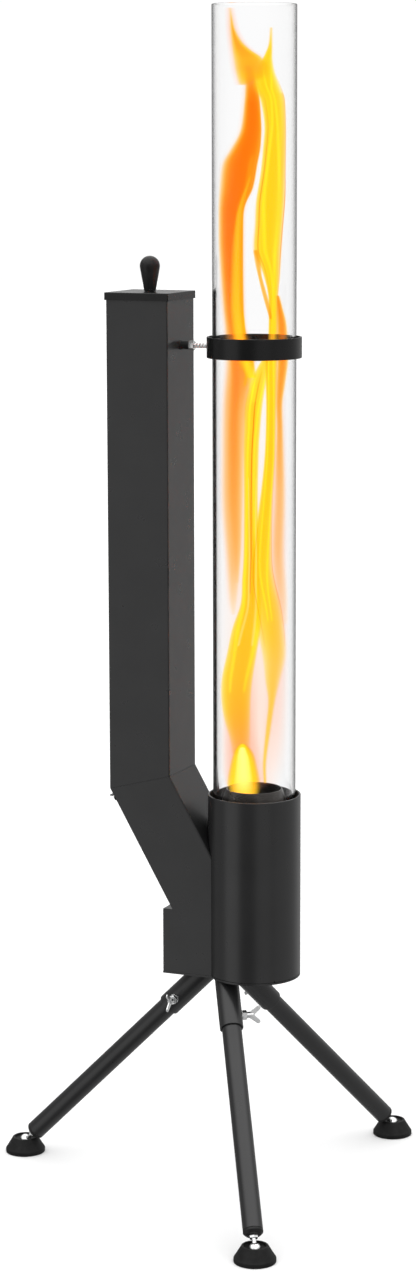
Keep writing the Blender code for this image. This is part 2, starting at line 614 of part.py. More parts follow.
def build_sleeve(side, azimuth, frame):
    """A short tube welded under the base plate and coped against its two neighbours."""
    sleeve = pipe(f"leg_sleeve_{side}", SLEEVE_RADIUS, SLEEVE_BORE, -SLEEVE_LENGTH / 4, SLEEVE_LENGTH, COARSE)
    above = box(f"above_sleeve_{side}", (-FAR, -FAR, BODY_BOTTOM - GAP), (FAR, FAR, FAR), cutters)
    boolean(sleeve, above)
    for turn, low, high in ((60, -GAP / 2, FAR), (-60, -FAR, GAP / 2)):
        plane = Matrix.Translation(APEX) @ Matrix.Rotation(azimuth + math.radians(turn), 4, "Z")
        label = "left" if turn > 0 else "right"
        boolean(sleeve, box(f"sleeve_{side}_{label}", (-FAR, low, -FAR), (FAR, high, FAR), cutters, plane))
    screw_axis = Matrix.Translation((0, 0, CLAMP_REACH)) @ Matrix.Rotation(-math.pi / 2, 4, "X")
    hole = rod(f"clamp_hole_{side}", BOLT_BORE, LEG_RADIUS - 0.005, SLEEVE_RADIUS + 0.005, SMALL, cutters,
               screw_axis)
    hole.parent = frame
    boolean(sleeve, hole)
    finish(sleeve, BLACK_COAT, frame)
    hex_nut(f"clamp_nut_{side}", NUT_THICKNESS, SLEEVE_RADIUS + GAP, model, screw_axis, frame)
    return screw_axis


def wing_outline():
    """Side view of the two wings: arms with round ends that open in a V from the stem's end."""
    stem_end = SLEEVE_RADIUS + WING_STEM_END
    half = WING_WIDTH / 2
    arm = Vector((math.sin(WING_SPREAD), math.cos(WING_SPREAD)))
    across = Vector((arm.y, -arm.x))
    root = Vector((0, stem_end))
    tip = root + arm * (WING_LENGTH - half)
    turn = math.atan2(across.y, across.x)
    round_end = arc(half, turn, turn + math.pi, 6, tip)
    crotch = root.y + half / math.sin(WING_SPREAD)
    outline = [(BOLT_RADIUS, stem_end - half)] + round_end + [(0, crotch)]
    return outline + [(-x, y) for x, y in reversed(outline[:-1])]


def build_wing_screw(side, screw_axis, frame):
    """The clamping screw: a shank that stops just clear of the leg tube, and a pair of wings."""
    placed = screw_axis @ Matrix.Rotation(WING_TURN, 4, "Z")
    shank = rod(f"wing_screw_{side}", BOLT_RADIUS, LEG_RADIUS + GAP, SLEEVE_RADIUS + WING_STEM_END, SMALL,
                model, placed)
    wings = flat(f"wings_{side}", wing_outline(), WING_THICKNESS, cutters, placed @ SIDE_VIEW)
    wings.parent = frame
    boolean(shank, wings, "UNION")
    finish(shank, BRIGHT_STEEL, frame)


def build_leg(side, frame):
    """The leg tube, the plug in its end, the ball stud in the plug and the pad on the ball."""
    finish(pipe(f"leg_tube_{side}", LEG_RADIUS, LEG_BORE, LEG_START, LEG_END, COARSE), BLACK_COAT, frame)

    stud_bore = STUD_DIAMETER / 2 + BOLT_CLEARANCE
    plug_radius = LEG_BORE - PLUG_CLEARANCE
    flange_start = LEG_END + GAP
    flange_end = flange_start + PLUG_FLANGE
    chamfer = PLUG_FLANGE / 2
    plug = [(LEG_RADIUS - chamfer, flange_end), (LEG_RADIUS, flange_end - chamfer), (LEG_RADIUS, flange_start),
            (plug_radius, flange_start), (plug_radius, LEG_END - PLUG_DEPTH), (stud_bore, LEG_END - PLUG_DEPTH),
            (stud_bore, flange_end)]
    finish(turned(f"leg_plug_{side}", plug, COARSE, closed=True), BLACK_PLASTIC, frame)

    neck = NECK_DIAMETER / 2
    neck_angle = math.asin(neck / BALL_RADIUS)
    hexagon = HEX_ACROSS_FLATS / 2 / math.cos(math.radians(30))
    hex_start = flange_end + GAP
    ball = arc(BALL_RADIUS, math.pi / 2, -math.pi / 2 + neck_angle, 10, (0, BALL_REACH))
    ball[0] = (0, BALL_REACH + BALL_RADIUS)
    stud = ball + [(neck, hex_start), (0, hex_start)]
    turned_stud = turned(f"ball_stud_{side}", stud, COARSE)
    collar = rod(f"stud_hexagon_{side}", hexagon, hex_start, hex_start + HEX_LENGTH, 6, cutters)
    shank = rod(f"stud_shank_{side}", STUD_DIAMETER / 2, LEG_END - PLUG_DEPTH, hex_start + HEX_LENGTH / 2, SMALL,
                cutters)
    for piece in (collar, shank):
        piece.parent = frame
        boolean(turned_stud, piece, "UNION")
    finish(turned_stud, BRIGHT_STEEL, frame)


def build_pad(side, azimuth):
    """The foot: a coned pad with a recessed top and a socket that the ball snaps into."""
    place = Vector((HUB_X + FOOT_RADIUS * math.cos(azimuth), FOOT_RADIUS * math.sin(azimuth), BALL_HEIGHT))
    socket = BALL_RADIUS + BALL_CLEARANCE
    floor = -BALL_HEIGHT
    recess_floor = floor + PAD_HEIGHT - PAD_TOP_RECESS
    mouth = math.asin(recess_floor / socket)
    profile = [(PAD_RECESS_DIAMETER / 2, floor + PAD_HEIGHT), (PAD_TOP_DIAMETER / 2, floor + PAD_HEIGHT),
               (PAD_DIAMETER / 2, floor + PAD_RIM_HEIGHT), (PAD_DIAMETER / 2, floor), (0, floor)]
    bowl = arc(socket, -math.pi / 2, mouth, 8)
    bowl[0] = (0, -socket)
    profile = bowl + [(PAD_RECESS_DIAMETER / 2, recess_floor)] + profile
    pad = turned(f"foot_pad_{side}", profile, MEDIUM, model, Matrix.Translation(place))
    finish(pad, BLACK_RUBBER)


LEGS = {"left": math.radians(180), "front": math.radians(-60), "back": math.radians(60)}

build_base_plate()
build_housing()
build_ash_box()
build_hopper()
build_chute()
build_gate()
build_burner()
build_drawer()
build_lid()
build_ring()
for leg_name, leg_azimuth in LEGS.items():
    leg_empty = leg_frame(f"leg_frame_{leg_name}", leg_azimuth)
    axis_of_screw = build_sleeve(leg_name, leg_azimuth, leg_empty)
    build_wing_screw(leg_name, axis_of_screw, leg_empty)
    build_leg(leg_name, leg_empty)
    build_pad(leg_name, leg_azimuth)
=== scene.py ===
# %% [markdown]
# # A wood-pellet patio heater
#
# This heater has a square hopper full of wood pellets, a slanting chute that feeds them into a round burner
# housing, a tall glass tube that the flame rises in, and a tripod of three tubes with swivel feet. The measured
# part is loaded first as a fixed frame. Each piece that shows is then made again at the same place, with the
# rounded edges, threads and finishes that a measured part leaves out.

# %% Load the measured frame
import json
import math

import bmesh
import bpy
from mathutils import Matrix, Vector


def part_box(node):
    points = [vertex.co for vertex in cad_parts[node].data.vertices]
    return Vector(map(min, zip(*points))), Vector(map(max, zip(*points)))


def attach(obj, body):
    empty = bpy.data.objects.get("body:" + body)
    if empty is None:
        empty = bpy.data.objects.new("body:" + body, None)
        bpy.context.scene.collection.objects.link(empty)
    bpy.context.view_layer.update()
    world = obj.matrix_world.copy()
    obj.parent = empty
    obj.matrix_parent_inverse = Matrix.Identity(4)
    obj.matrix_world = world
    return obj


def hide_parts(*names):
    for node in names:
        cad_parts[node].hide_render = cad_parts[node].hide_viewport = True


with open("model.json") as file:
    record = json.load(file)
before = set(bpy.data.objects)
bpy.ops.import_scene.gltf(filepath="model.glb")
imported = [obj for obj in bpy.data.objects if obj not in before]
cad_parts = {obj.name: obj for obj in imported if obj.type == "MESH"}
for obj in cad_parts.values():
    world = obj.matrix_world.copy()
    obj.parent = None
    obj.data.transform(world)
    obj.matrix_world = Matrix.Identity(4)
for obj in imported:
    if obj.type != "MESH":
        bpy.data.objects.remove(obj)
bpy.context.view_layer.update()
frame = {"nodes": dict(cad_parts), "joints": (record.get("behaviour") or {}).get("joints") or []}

# %% [markdown]
# ## Places that the whole script uses
#
# Nothing here is typed in twice: every place is read from the measured part, so a change there moves the looks
# too. The glass tube gives one axis, the hopper another, and the three legs meet at a point under the body.

# %% Read the main places
SIDES = ("left", "front", "back")


def low_of(node):
    """Lowest corner of a measured piece."""
    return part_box(node)[0]


def high_of(node):
    """Highest corner of a measured piece."""
    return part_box(node)[1]


def middle_of(node):
    """Middle of a measured piece."""
    low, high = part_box(node)
    return (low + high) / 2


JOINTS = {joint["name"]: joint for joint in frame["joints"]}
GLASS_X = middle_of("glass_tube").x
HOPPER_X = middle_of("hopper_tube").x
BODY_BOTTOM = low_of("base_plate").z
HOUSING_TOP = high_of("burner_housing").z
HOUSING_RADIUS = high_of("burner_housing").x - GLASS_X
HOUSING_BORE = HOUSING_RADIUS - 0.003
GAP = 0.0003
AT_GLASS = Matrix.Translation((GLASS_X, 0, 0))
AT_HOPPER = Matrix.Translation((HOPPER_X, 0, 0))
print(f"glass axis x = {GLASS_X:.4f}, hopper axis x = {HOPPER_X:.4f}, housing radius {HOUSING_RADIUS:.4f}")

# %% Find where the three legs meet
BALLS = {side: Vector(JOINTS[f"foot_{side}_tilt"]["pos_m"]) for side in SIDES}
LEG_DOWN = {side: Vector(JOINTS[f"leg_{side}_slide"]["axis"]).normalized() for side in SIDES}
foot_circle = (BALLS["left"] - BALLS["front"]).length / math.sqrt(3)
hub = sum(BALLS.values(), Vector()) / 3
LEG_TILT = math.acos(-LEG_DOWN["left"].z)
APEX = Vector((hub.x, 0, hub.z + foot_circle / math.tan(LEG_TILT)))
BALL_REACH = foot_circle / math.sin(LEG_TILT)


def leg_frame(side):
    """A frame at the meeting point of the legs, its Z down the leg and its Y level."""
    down = LEG_DOWN[side]
    azimuth = math.atan2(down.y, down.x)
    turn = Matrix.Rotation(azimuth, 4, "Z") @ Matrix.Rotation(math.pi - LEG_TILT, 4, "Y")
    return Matrix.Translation(APEX) @ turn


print("legs meet at", [round(v, 4) for v in APEX], "tilted by", round(math.degrees(LEG_TILT), 2), "degrees")

# %% [markdown]
# ## Finishes
#
# Every finish is a Principled surface with its colour, roughness and relief broken up by noise, because nothing
# real is one flat value. The noise reads Object coordinates, which for these pieces are metres in the room, so
# the grain has a true size: a powder coat's texture is about half a millimetre across.

# %% A helper for materials
def new_finish(name):
    """An empty node material with a Principled shader, its nodes and its output."""
    material = bpy.data.materials.new(name)
    material.use_nodes = True
    nodes = material.node_tree.nodes
    return material, nodes, nodes["Principled BSDF"], nodes["Material Output"]


def add(tree, kind, inputs=None, **settings):
    """A new node with these settings. Each input gets a value, or a link from another node's output."""
    node = tree.nodes.new(kind)
    for key, value in settings.items():
        setattr(node, key, value)
    for key, value in (inputs or {}).items():
        if isinstance(value, bpy.types.NodeSocket):
            tree.links.new(value, node.inputs[key])
        else:
            node.inputs[key].default_value = value
    return node


def noise(material, scale, detail=2.0, stretch=(1, 1, 1)):
    """Noise in metres of the room, finer with a larger scale, and stretched by a factor along each axis."""
    nodes, links = material.node_tree.nodes, material.node_tree.links
    place = nodes.new("ShaderNodeTexCoord")
    mapping = nodes.new("ShaderNodeMapping")
    mapping.inputs["Scale"].default_value = stretch
    texture = nodes.new("ShaderNodeTexNoise")
    texture.inputs["Scale"].default_value = scale
    texture.inputs["Detail"].default_value = detail
    links.new(place.outputs["Object"], mapping.inputs["Vector"])
    links.new(mapping.outputs["Vector"], texture.inputs["Vector"])
    return texture


def vary(material, texture, socket, low, high, start=0.3, end=0.7):
    """Lets a texture move a number or a grey socket between two values."""
    nodes, links = material.node_tree.nodes, material.node_tree.links
    span = nodes.new("ShaderNodeMapRange")
    span.inputs["From Min"].default_value = start
    span.inputs["From Max"].default_value = end
    span.inputs["To Min"].default_value = low
    span.inputs["To Max"].default_value = high
    links.new(texture.outputs["Fac"], span.inputs["Value"])
    links.new(span.outputs["Result"], socket)


def tint(material, texture, socket, first, second, start=0.35, end=0.65):
    """Lets a texture move a colour socket between two colours."""
    nodes, links = material.node_tree.nodes, material.node_tree.links
    ramp = nodes.new("ShaderNodeValToRGB")
    ramp.color_ramp.elements[0].position = start
    ramp.color_ramp.elements[0].color = (*first, 1)
    ramp.color_ramp.elements[1].position = end
    ramp.color_ramp.elements[1].color = (*second, 1)
    links.new(texture.outputs["Fac"], ramp.inputs["Fac"])
    links.new(ramp.outputs["Color"], socket)


def relief(material, shader, texture, height, strength=1.0):
    """Raises the surface by a texture, with its height in metres."""
    nodes, links = material.node_tree.nodes, material.node_tree.links
    bump = nodes.new("ShaderNodeBump")
    bump.inputs["Strength"].default_value = strength
    bump.inputs["Distance"].default_value = height
    links.new(texture.outputs["Fac"], bump.inputs["Height"])
    links.new(bump.outputs["Normal"], shader.inputs["Normal"])


# %% A helper for a whole finish
def grained_finish(name, colours, colour_grain, gloss, gloss_grain, relief_grain, height, strength,
                   shine=0.5, metallic=0.0):
    """A finish whose colour, roughness and height each follow their own noise, given as (scale, detail)."""
    material, _, shader, _ = new_finish(name)
    tint(material, noise(material, *colour_grain), shader.inputs["Base Color"], *colours)
    vary(material, noise(material, *gloss_grain), shader.inputs["Roughness"], *gloss)
    relief(material, shader, noise(material, *relief_grain), height, strength)
    shader.inputs["Specular IOR Level"].default_value = shine
    shader.inputs["Metallic"].default_value = metallic
    return material


def grey(level, blue=0.0):
    """A grey, with a little more blue if asked."""
    return (level, level, level + blue)


# %% [markdown]
# ### Powder coat
#
# The body and the legs are steel, coated with a black powder that is melted on in an oven. It dries to a satin
# skin with a fine orange-peel grain. A very fine noise makes the grain, and a broad one shifts the gloss a
# little, as an uneven oven does.

# %% Powder coat
POWDER_COAT = grained_finish("satin_black_powder_coat", (grey(0.017, 0.0005), grey(0.020, 0.0005)), (14, 3),
                             (0.27, 0.31), (30, 4), (900, 1), 0.00002, 0.05)
DARK_COAT = grained_finish("smooth_black_powder_coat", (grey(0.006), grey(0.008)), (14, 3),
                           (0.24, 0.30), (30, 4), (900, 1), 0.00002, 0.05, shine=0.3)
print("made", POWDER_COAT.name, "and", DARK_COAT.name)

# %% [markdown]
# ### Stove steel
#
# The burner's own sheet steel is bare. It is brushed up and down, and heat has browned it. Noise that is
# stretched along the height gives the brush lines, and the same noise moves the gloss and the relief.

# %% Stove steel
STOVE_STEEL, _, stove_shader, _ = new_finish("heat_darkened_steel")
brushing = noise(STOVE_STEEL, 900, 3, (1, 1, 0.012))
heat_stain = noise(STOVE_STEEL, 26, 4)
tint(STOVE_STEEL, heat_stain, stove_shader.inputs["Base Color"], (0.020, 0.017, 0.015),
     (0.055, 0.050, 0.047))
vary(STOVE_STEEL, brushing, stove_shader.inputs["Roughness"], 0.26, 0.44)
relief(STOVE_STEEL, stove_shader, brushing, 0.00003, 0.5)
stove_shader.inputs["Metallic"].default_value = 0.85
print("made", STOVE_STEEL.name)

# %% [markdown]
# ### Zinc plate, knob plastic, rubber and gasket
#
# Nuts, studs and wing screws are zinc plated: a bright, slightly cloudy metal. The knob and the leg plugs are a
# hard moulded plastic with a soft shine, the feet are a dull rubber, and the gasket is pressed white fibre.

# %% Zinc plate, moulded plastic and rubber
ZINC_PLATE = grained_finish("bright_zinc_plate", ((0.74, 0.75, 0.76), (0.88, 0.88, 0.87)), (220, 3),
                            (0.14, 0.27), (380, 3), (2200, 2), 0.00002, 0.3, metallic=1.0)
MOULDED_BLACK = grained_finish("moulded_black_plastic", (grey(0.013), grey(0.020)), (120, 4),
                               (0.34, 0.46), (160, 3), (700, 3), 0.00008, 0.35, shine=0.24)
FOOT_RUBBER = grained_finish("dull_black_rubber", (grey(0.006), grey(0.010)), (90, 4),
                             (0.50, 0.66), (150, 3), (1100, 2), 0.00006, 0.4, shine=0.2)

# %% Gasket fibre
GASKET_FIBRE, _, fibre_shader, _ = new_finish("pressed_white_fibre")
fibre_grain = noise(GASKET_FIBRE, 400, 5)
tint(GASKET_FIBRE, fibre_grain, fibre_shader.inputs["Base Color"], (0.62, 0.60, 0.54), (0.84, 0.82, 0.77))
relief(GASKET_FIBRE, fibre_shader, noise(GASKET_FIBRE, 1800, 4), 0.0002, 0.8)
fibre_shader.inputs["Roughness"].default_value = 0.95
print("made", ", ".join(m.name for m in (ZINC_PLATE, MOULDED_BLACK, FOOT_RUBBER, GASKET_FIBRE)))

# %% [markdown]
# ### Glass
#
# The tube is clear borosilicate glass with real walls, so light bends in it as it does in the real one. Where
# its outside is seen at a steep slant, a painted shade turns its colour grey, standing in for the dark bands
# that reflected and bent light draws along the edges of a glass tube. Only the outer skin, which is further
# from the axis than the middle of the wall, carries that painted shade.
# Rays that only carry light to other things pass straight through, which keeps the inside free of speckle.

# %% Clear glass
MID_WALL = 0.060
# Painted shade: how grey the glass's outer skin is coloured at each slope, for the dark bands at its edges.
EDGE_SHADE_BY_SLOPE = ((0.0, 1.0), (0.36, 0.96), (0.47, 0.90), (0.51, 0.83), (0.556, 0.71), (0.605, 0.53),
                 (0.665, 0.28), (0.737, 0.09), (0.85, 0.015), (1.0, 0.005))
CLEAR_GLASS, _, glass_shader, glass_output = new_finish("clear_borosilicate_glass")
glass_tree = CLEAR_GLASS.node_tree
faint_tint = add(glass_tree, "ShaderNodeMix", {"Factor": 1.0}, data_type="RGBA", blend_type="MULTIPLY")
tint(CLEAR_GLASS, noise(CLEAR_GLASS, 3, 2), faint_tint.inputs[6], (0.974, 0.974, 0.975),
     (0.986, 0.986, 0.987))
slope = add(glass_tree, "ShaderNodeLayerWeight", {"Blend": 0.5})
painted_shade_by_slope = add(glass_tree, "ShaderNodeValToRGB", {"Fac": slope.outputs["Facing"]})
painted_shade_by_slope.color_ramp.elements.remove(painted_shade_by_slope.color_ramp.elements[1])
for at, level in EDGE_SHADE_BY_SLOPE:
    step = painted_shade_by_slope.color_ramp.elements.new(at) if at else painted_shade_by_slope.color_ramp.elements[0]
    step.position, step.color = at, (level, level, level, 1)
glass_place = add(glass_tree, "ShaderNodeTexCoord")
from_axis = add(glass_tree, "ShaderNodeVectorMath",
                {0: glass_place.outputs["Object"], 1: (GLASS_X, 0, 0)}, operation="SUBTRACT")
flat = add(glass_tree, "ShaderNodeVectorMath", {0: from_axis.outputs["Vector"], 1: (1, 1, 0)},
           operation="MULTIPLY")
reach_out = add(glass_tree, "ShaderNodeVectorMath", {0: flat.outputs["Vector"]}, operation="LENGTH")
outside_only = add(glass_tree, "ShaderNodeMath", {0: reach_out.outputs["Value"], 1: MID_WALL},
                   operation="GREATER_THAN")
# The painted edge shade goes on the outer skin only; the inner skin stays plain white.
painted_edge_shade = add(glass_tree, "ShaderNodeMix",
                {"Factor": outside_only.outputs[0], 6: (1, 1, 1, 1), 7: painted_shade_by_slope.outputs["Color"]},
                data_type="RGBA")
glass_tree.links.new(painted_edge_shade.outputs[2], faint_tint.inputs[7])
glass_tree.links.new(faint_tint.outputs[2], glass_shader.inputs["Base Color"])
glass_shader.inputs["Specular Tint"].default_value = (0.12, 0.12, 0.12, 1)
glass_shader.inputs["Roughness"].default_value = 0.0
glass_shader.inputs["Transmission Weight"].default_value = 1.0
glass_shader.inputs["IOR"].default_value = 1.47
passing = add(glass_tree, "ShaderNodeBsdfTransparent", {"Color": (0.94, 0.96, 0.955, 1)})
ray_kind = add(glass_tree, "ShaderNodeLightPath")
either = add(glass_tree, "ShaderNodeMixShader", {"Fac": ray_kind.outputs["Is Shadow Ray"],
                                                 1: glass_shader.outputs["BSDF"], 2: passing.outputs["BSDF"]})
glass_tree.links.new(either.outputs["Shader"], glass_output.inputs["Surface"])
print("made", CLEAR_GLASS.name)

# %% [markdown]
# ## Helpers that make shapes
#
# Round pieces are a profile turned about an axis, as on a lathe. Square tubes are a rounded square, drawn out.
# Cuts are Booleans with plain cutters. Each finished piece then gets its normals weighted by face area, so that
# large flat faces stay flat beside their small rounded edges.

# %% Turn a mesh under construction into an object
def as_object(name, shape, matrix=Matrix()):
    """Links a bmesh as an object, its place in its mesh and its faces outwards."""
    bmesh.ops.remove_doubles(shape, verts=shape.verts, dist=1e-6)
    bmesh.ops.recalc_face_normals(shape, faces=shape.faces)
    mesh = bpy.data.meshes.new(name)
    shape.to_mesh(mesh)
    shape.free()
    mesh.transform(matrix)
    obj = bpy.data.objects.new(name, mesh)
    bpy.context.scene.collection.objects.link(obj)
    return obj


def settle(obj):
    """Applies an object's modifiers, leaving a plain mesh."""
    bpy.context.view_layer.update()
    graph = bpy.context.evaluated_depsgraph_get()
    mesh = bpy.data.meshes.new_from_object(obj.evaluated_get(graph))
    obj.modifiers.clear()
    obj.data = mesh
    return obj


def cut(obj, *others, operation="DIFFERENCE"):
    """Cuts an object by others with Booleans, or joins it with them, and removes them."""
    for other in others:
        modifier = obj.modifiers.new(other.name, "BOOLEAN")
        modifier.operation = operation
        modifier.solver = "EXACT"
        modifier.object = other
    settle(obj)
    for other in others:
        bpy.data.objects.remove(other)
    return obj


# %% Finish a piece and put it on its body
PIECES = []


def finish_piece(obj, material, body, nodes=(), rounding=0.0, segments=3):
    """Rounds the edges, weights the normals, and gives the piece its finish and the body that it moves with."""
    if rounding:
        bevel = obj.modifiers.new("rounding", "BEVEL")
        bevel.width = rounding
        bevel.segments = segments
        bevel.limit_method = "ANGLE"
        bevel.angle_limit = math.radians(35)
        settle(obj)
    obj.data.shade_smooth()
    obj.data.set_sharp_from_angle(angle=math.radians(42))
    weighted = obj.modifiers.new("weighted", "WEIGHTED_NORMAL")
    weighted.keep_sharp = True
    settle(obj)
    obj.data.materials.clear()
    obj.data.materials.append(material)
    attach(obj, body)
    if nodes:
        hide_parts(*nodes)
    obj.data.calc_loop_triangles()
    PIECES.append(obj)
    print(f"{obj.name}: {len(obj.data.loop_triangles)} triangles on {body}")
    return obj


# %% Outlines with rounded corners
def rounded(points, radius, steps=4, closed=True, sharp=()):
    """Rounds the corners of an outline of (x, y) points, but not the corners whose numbers are in sharp."""
    made = []
    count = len(points)
    for i, point in enumerate(points):
        corner = Vector(point)
        at_end = not closed and i in (0, count - 1)
        if at_end or i in sharp:
            made.append(corner)
            continue
        before, after = Vector(points[i - 1]) - corner, Vector(points[(i + 1) % count]) - corner
        reach = min(radius, 0.45 * before.length, 0.45 * after.length)
        start, end = corner + before.normalized() * reach, corner + after.normalized() * reach
        for k in range(steps + 1):
            t = k / steps
            made.append(start * (1 - t) ** 2 + corner * 2 * t * (1 - t) + end * t ** 2)
    return made


def arc(radius, start, end, steps, centre=(0, 0)):
    """Points along an arc, both ends included."""
    angles = [start + (end - start) * i / steps for i in range(steps + 1)]
    return [Vector((centre[0] + radius * math.cos(a), centre[1] + radius * math.sin(a))) for a in angles]


# %% A lathe, round bars and a rounded square tube
def lathe(name, profile, facets, matrix=Matrix(), closed=False):
    """Turns (radius, height) points about Z. With closed, the last point is joined to the first."""
    shape = bmesh.new()
    rings = []
    for radius, height in profile:
        if radius < 1e-7:
            rings.append([shape.verts.new((0, 0, height))])
            continue
        turn = [2 * math.pi * k / facets for k in range(facets)]
        rings.append([shape.verts.new((radius * math.cos(a), radius * math.sin(a), height)) for a in turn])
    pairs = list(zip(rings, rings[1:])) + ([(rings[-1], rings[0])] if closed else [])
    for first, second in pairs:
        for k in range(facets):
            n = (k + 1) % facets
            lower = [first[k % len(first)], first[n % len(first)]]
            upper = [second[n % len(second)], second[k % len(second)]]
            unique = list(dict.fromkeys(lower + upper))
            if len(unique) > 2:
                shape.faces.new(unique)
    return as_object(name, shape, matrix)


def rod(name, radius, low, high, facets, matrix=Matrix()):
    """A plain round bar along Z."""
    return lathe(name, [(0, low), (radius, low), (radius, high), (0, high)], facets, matrix)


def tube_profile(outer, inner, low, high):
    """The profile of a tube's wall, for the lathe."""
    return [(outer, high), (outer, low), (inner, low), (inner, high)]


def square_tube(name, half, wall, corner, low, high, matrix=Matrix()):
    """A square tube along Z with rounded corners inside and out."""
    square = [(half, half), (-half, half), (-half, -half), (half, -half)]
    inner_half = half - wall
    inner_square = [(x / half * inner_half, y / half * inner_half) for x, y in square]
    outer, inner = rounded(square, corner, 6), rounded(inner_square, max(corner - wall, 0.0005), 6)
    shape = bmesh.new()
    loops = [[shape.verts.new((p.x, p.y, z)) for p in points] for points in (outer, inner)
             for z in (low, high)]
    outer_low, outer_high, inner_low, inner_high = loops
    walls = ((outer_low, outer_high), (inner_low, inner_high))
    rims = ((outer_low, inner_low), (outer_high, inner_high))
    for first, second in walls + rims:
        for k in range(len(first)):
            n = (k + 1) % len(first)
            shape.faces.new((first[k], first[n], second[n], second[k]))
    return as_object(name, shape, matrix)


# %% Blocks and extruded outlines
def block(name, low, high, matrix=Matrix()):
    """A box between two corners."""
    low, high = Vector(low), Vector(high)
    shape = bmesh.new()
    spread = Matrix.Translation((low + high) / 2) @ Matrix.Diagonal((*(high - low), 1))
    bmesh.ops.create_cube(shape, size=1.0, matrix=spread)
    return as_object(name, shape, matrix)


def extruded(name, outline, low, high, matrix=Matrix()):
    """An outline of (x, y) points drawn out along Z."""
    shape = bmesh.new()
    face = shape.faces.new([shape.verts.new((x, y, low)) for x, y in outline])
    made = bmesh.ops.extrude_face_region(shape, geom=[face])
    moved = [v for v in made["geom"] if isinstance(v, bmesh.types.BMVert)]
    bmesh.ops.translate(shape, vec=(0, 0, high - low), verts=moved)
    return as_object(name, shape, matrix)


def refined(node, name=None):
    """A merged copy of a measured piece, with its flat faces made whole."""
    shape = bmesh.new()
    shape.from_mesh(frame["nodes"][node].data)
    bmesh.ops.remove_doubles(shape, verts=shape.verts, dist=1e-5)
    bmesh.ops.dissolve_limit(shape, angle_limit=math.radians(1), verts=shape.verts, edges=shape.edges)
    return as_object(name or f"{node}_piece", shape)


# %% [markdown]
# ## The hopper and the chute
#
# Both are 100 mm square steel tube with slightly rounded corners. The hopper is cut at its foot by a slanted
# plane and the chute by the same plane, so that they meet at a clean mitre. A square tube is drawn for each
# and cut by the block on the far side of that plane.

# %% The mitre plane
HALF = (high_of("hopper_tube").x - low_of("hopper_tube").x) / 2
WALL = 0.002
mitre_inner = Vector((high_of("hopper_tube").x, 0, high_of("feed_chute").z))
mitre_outer = Vector((low_of("hopper_tube").x, 0, low_of("hopper_tube").z))
MITRE_TILT = math.atan2(mitre_inner.z - mitre_outer.z, 2 * HALF)
CHUTE_TILT = 2 * MITRE_TILT
CORNER = 0.0022


def mitre_block(side):
    """Everything on one side of the mitre plane: 1 above it, -1 below it."""
    near, far = -side * GAP / 2, side * 0.5
    slope = Matrix.Translation(mitre_inner) @ Matrix.Rotation(-MITRE_TILT, 4, "Y")
    return block("mitre_block", (-0.5, -0.5, min(near, far)), (0.5, 0.5, max(near, far)), slope)


print(f"the mitre slopes {math.degrees(MITRE_TILT):.2f} degrees, the chute {math.degrees(CHUTE_TILT):.2f}")

# %% Hopper
hopper_top = high_of("hopper_tube").z
hopper = square_tube("hopper_tube_piece", HALF, WALL, CORNER, mitre_outer.z - 0.03, hopper_top, AT_HOPPER)
cut(hopper, mitre_block(-1))
finish_piece(hopper, POWDER_COAT, "stand", ["hopper_tube"])

# %% Chute
BOX_TOP = high_of("ash_box").z
chute_line = Matrix.Translation((mitre_inner + mitre_outer) / 2) @ Matrix.Rotation(-CHUTE_TILT, 4, "Y")


def housing_block():
    """The space that the round housing takes, with a welding gap round it."""
    radius = HOUSING_RADIUS + GAP
    return rod("housing_block", radius, 0.2, 0.9, 144, AT_GLASS)


def chute_bore():
    """The space inside the chute."""
    inside = HALF - WALL
    return block("chute_bore", (-inside, -inside, -0.6), (inside, inside, 0.08), chute_line)


gate_low, gate_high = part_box("pellet_gate")
chute = square_tube("feed_chute_piece", HALF, WALL, CORNER, -0.5, 0.06, chute_line)
slot_low = (gate_low.x, -HALF + WALL, gate_low.z - GAP)
slot_high = (gate_low.x + 0.03, HALF - WALL, gate_high.z + GAP)
gate_slot = block("gate_slot", slot_low, slot_high)
below_box_top = block("below_box_top", (-0.5, -0.5, -0.5), (0.5, 0.5, BOX_TOP + 0.00002))
cut(chute, housing_block(), below_box_top, mitre_block(1), gate_slot)
finish_piece(chute, POWDER_COAT, "stand", ["feed_chute"])

# %% [markdown]
# ## The body
#
# The round housing is a rolled steel tube. The square box at the chute's foot is folded sheet, with soft folds
# instead of sharp edges, and one plate closes both from below. The housing's rim catches the light as a thin
# bright line, which only appears if the rim is rounded.

# %% Burner housing
BOX_FACE_X = low_of("ash_box").x
BORE_END = 0.035


def box_bore():
    """The space inside the ash box."""
    inside = HALF - WALL
    return block("box_bore", (BOX_FACE_X + WALL, -inside, 0), (GLASS_X - BORE_END, inside, BOX_TOP - WALL))


housing_foot = low_of("burner_housing").z
wall_profile = tube_profile(HOUSING_RADIUS, HOUSING_BORE, housing_foot, HOUSING_TOP)
housing = lathe("burner_housing_piece", rounded(wall_profile, 0.0011, 5), 144, AT_GLASS, closed=True)
cut(housing, box_bore(), chute_bore())
finish_piece(housing, POWDER_COAT, "stand", ["burner_housing"])

# %% Ash box
box_low, box_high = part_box("ash_box")
drawer_top = high_of("ash_drawer").z
ash_box = block("ash_box_piece", box_low, (GLASS_X, box_high.y, box_high.z))
folds = bmesh.new()
folds.from_mesh(ash_box.data)
fold_edges = [e for e in folds.edges if all(v.co.x < BOX_FACE_X + 0.001 for v in e.verts)
              and any(v.co.z > BOX_TOP - 0.001 for v in e.verts)]
bmesh.ops.bevel(folds, geom=fold_edges, offset=0.0018, segments=4, affect="EDGES", profile=0.5)
folds.to_mesh(ash_box.data)
folds.free()
hole_low = (BOX_FACE_X - 0.01, -HALF + WALL, 0)
hole_high = (BOX_FACE_X + 0.01, HALF - WALL, drawer_top + GAP)
drawer_hole = block("drawer_hole", hole_low, hole_high)
cut(ash_box, box_bore(), housing_block(), chute_bore(), drawer_hole)
finish_piece(ash_box, POWDER_COAT, "stand", ["ash_box"])

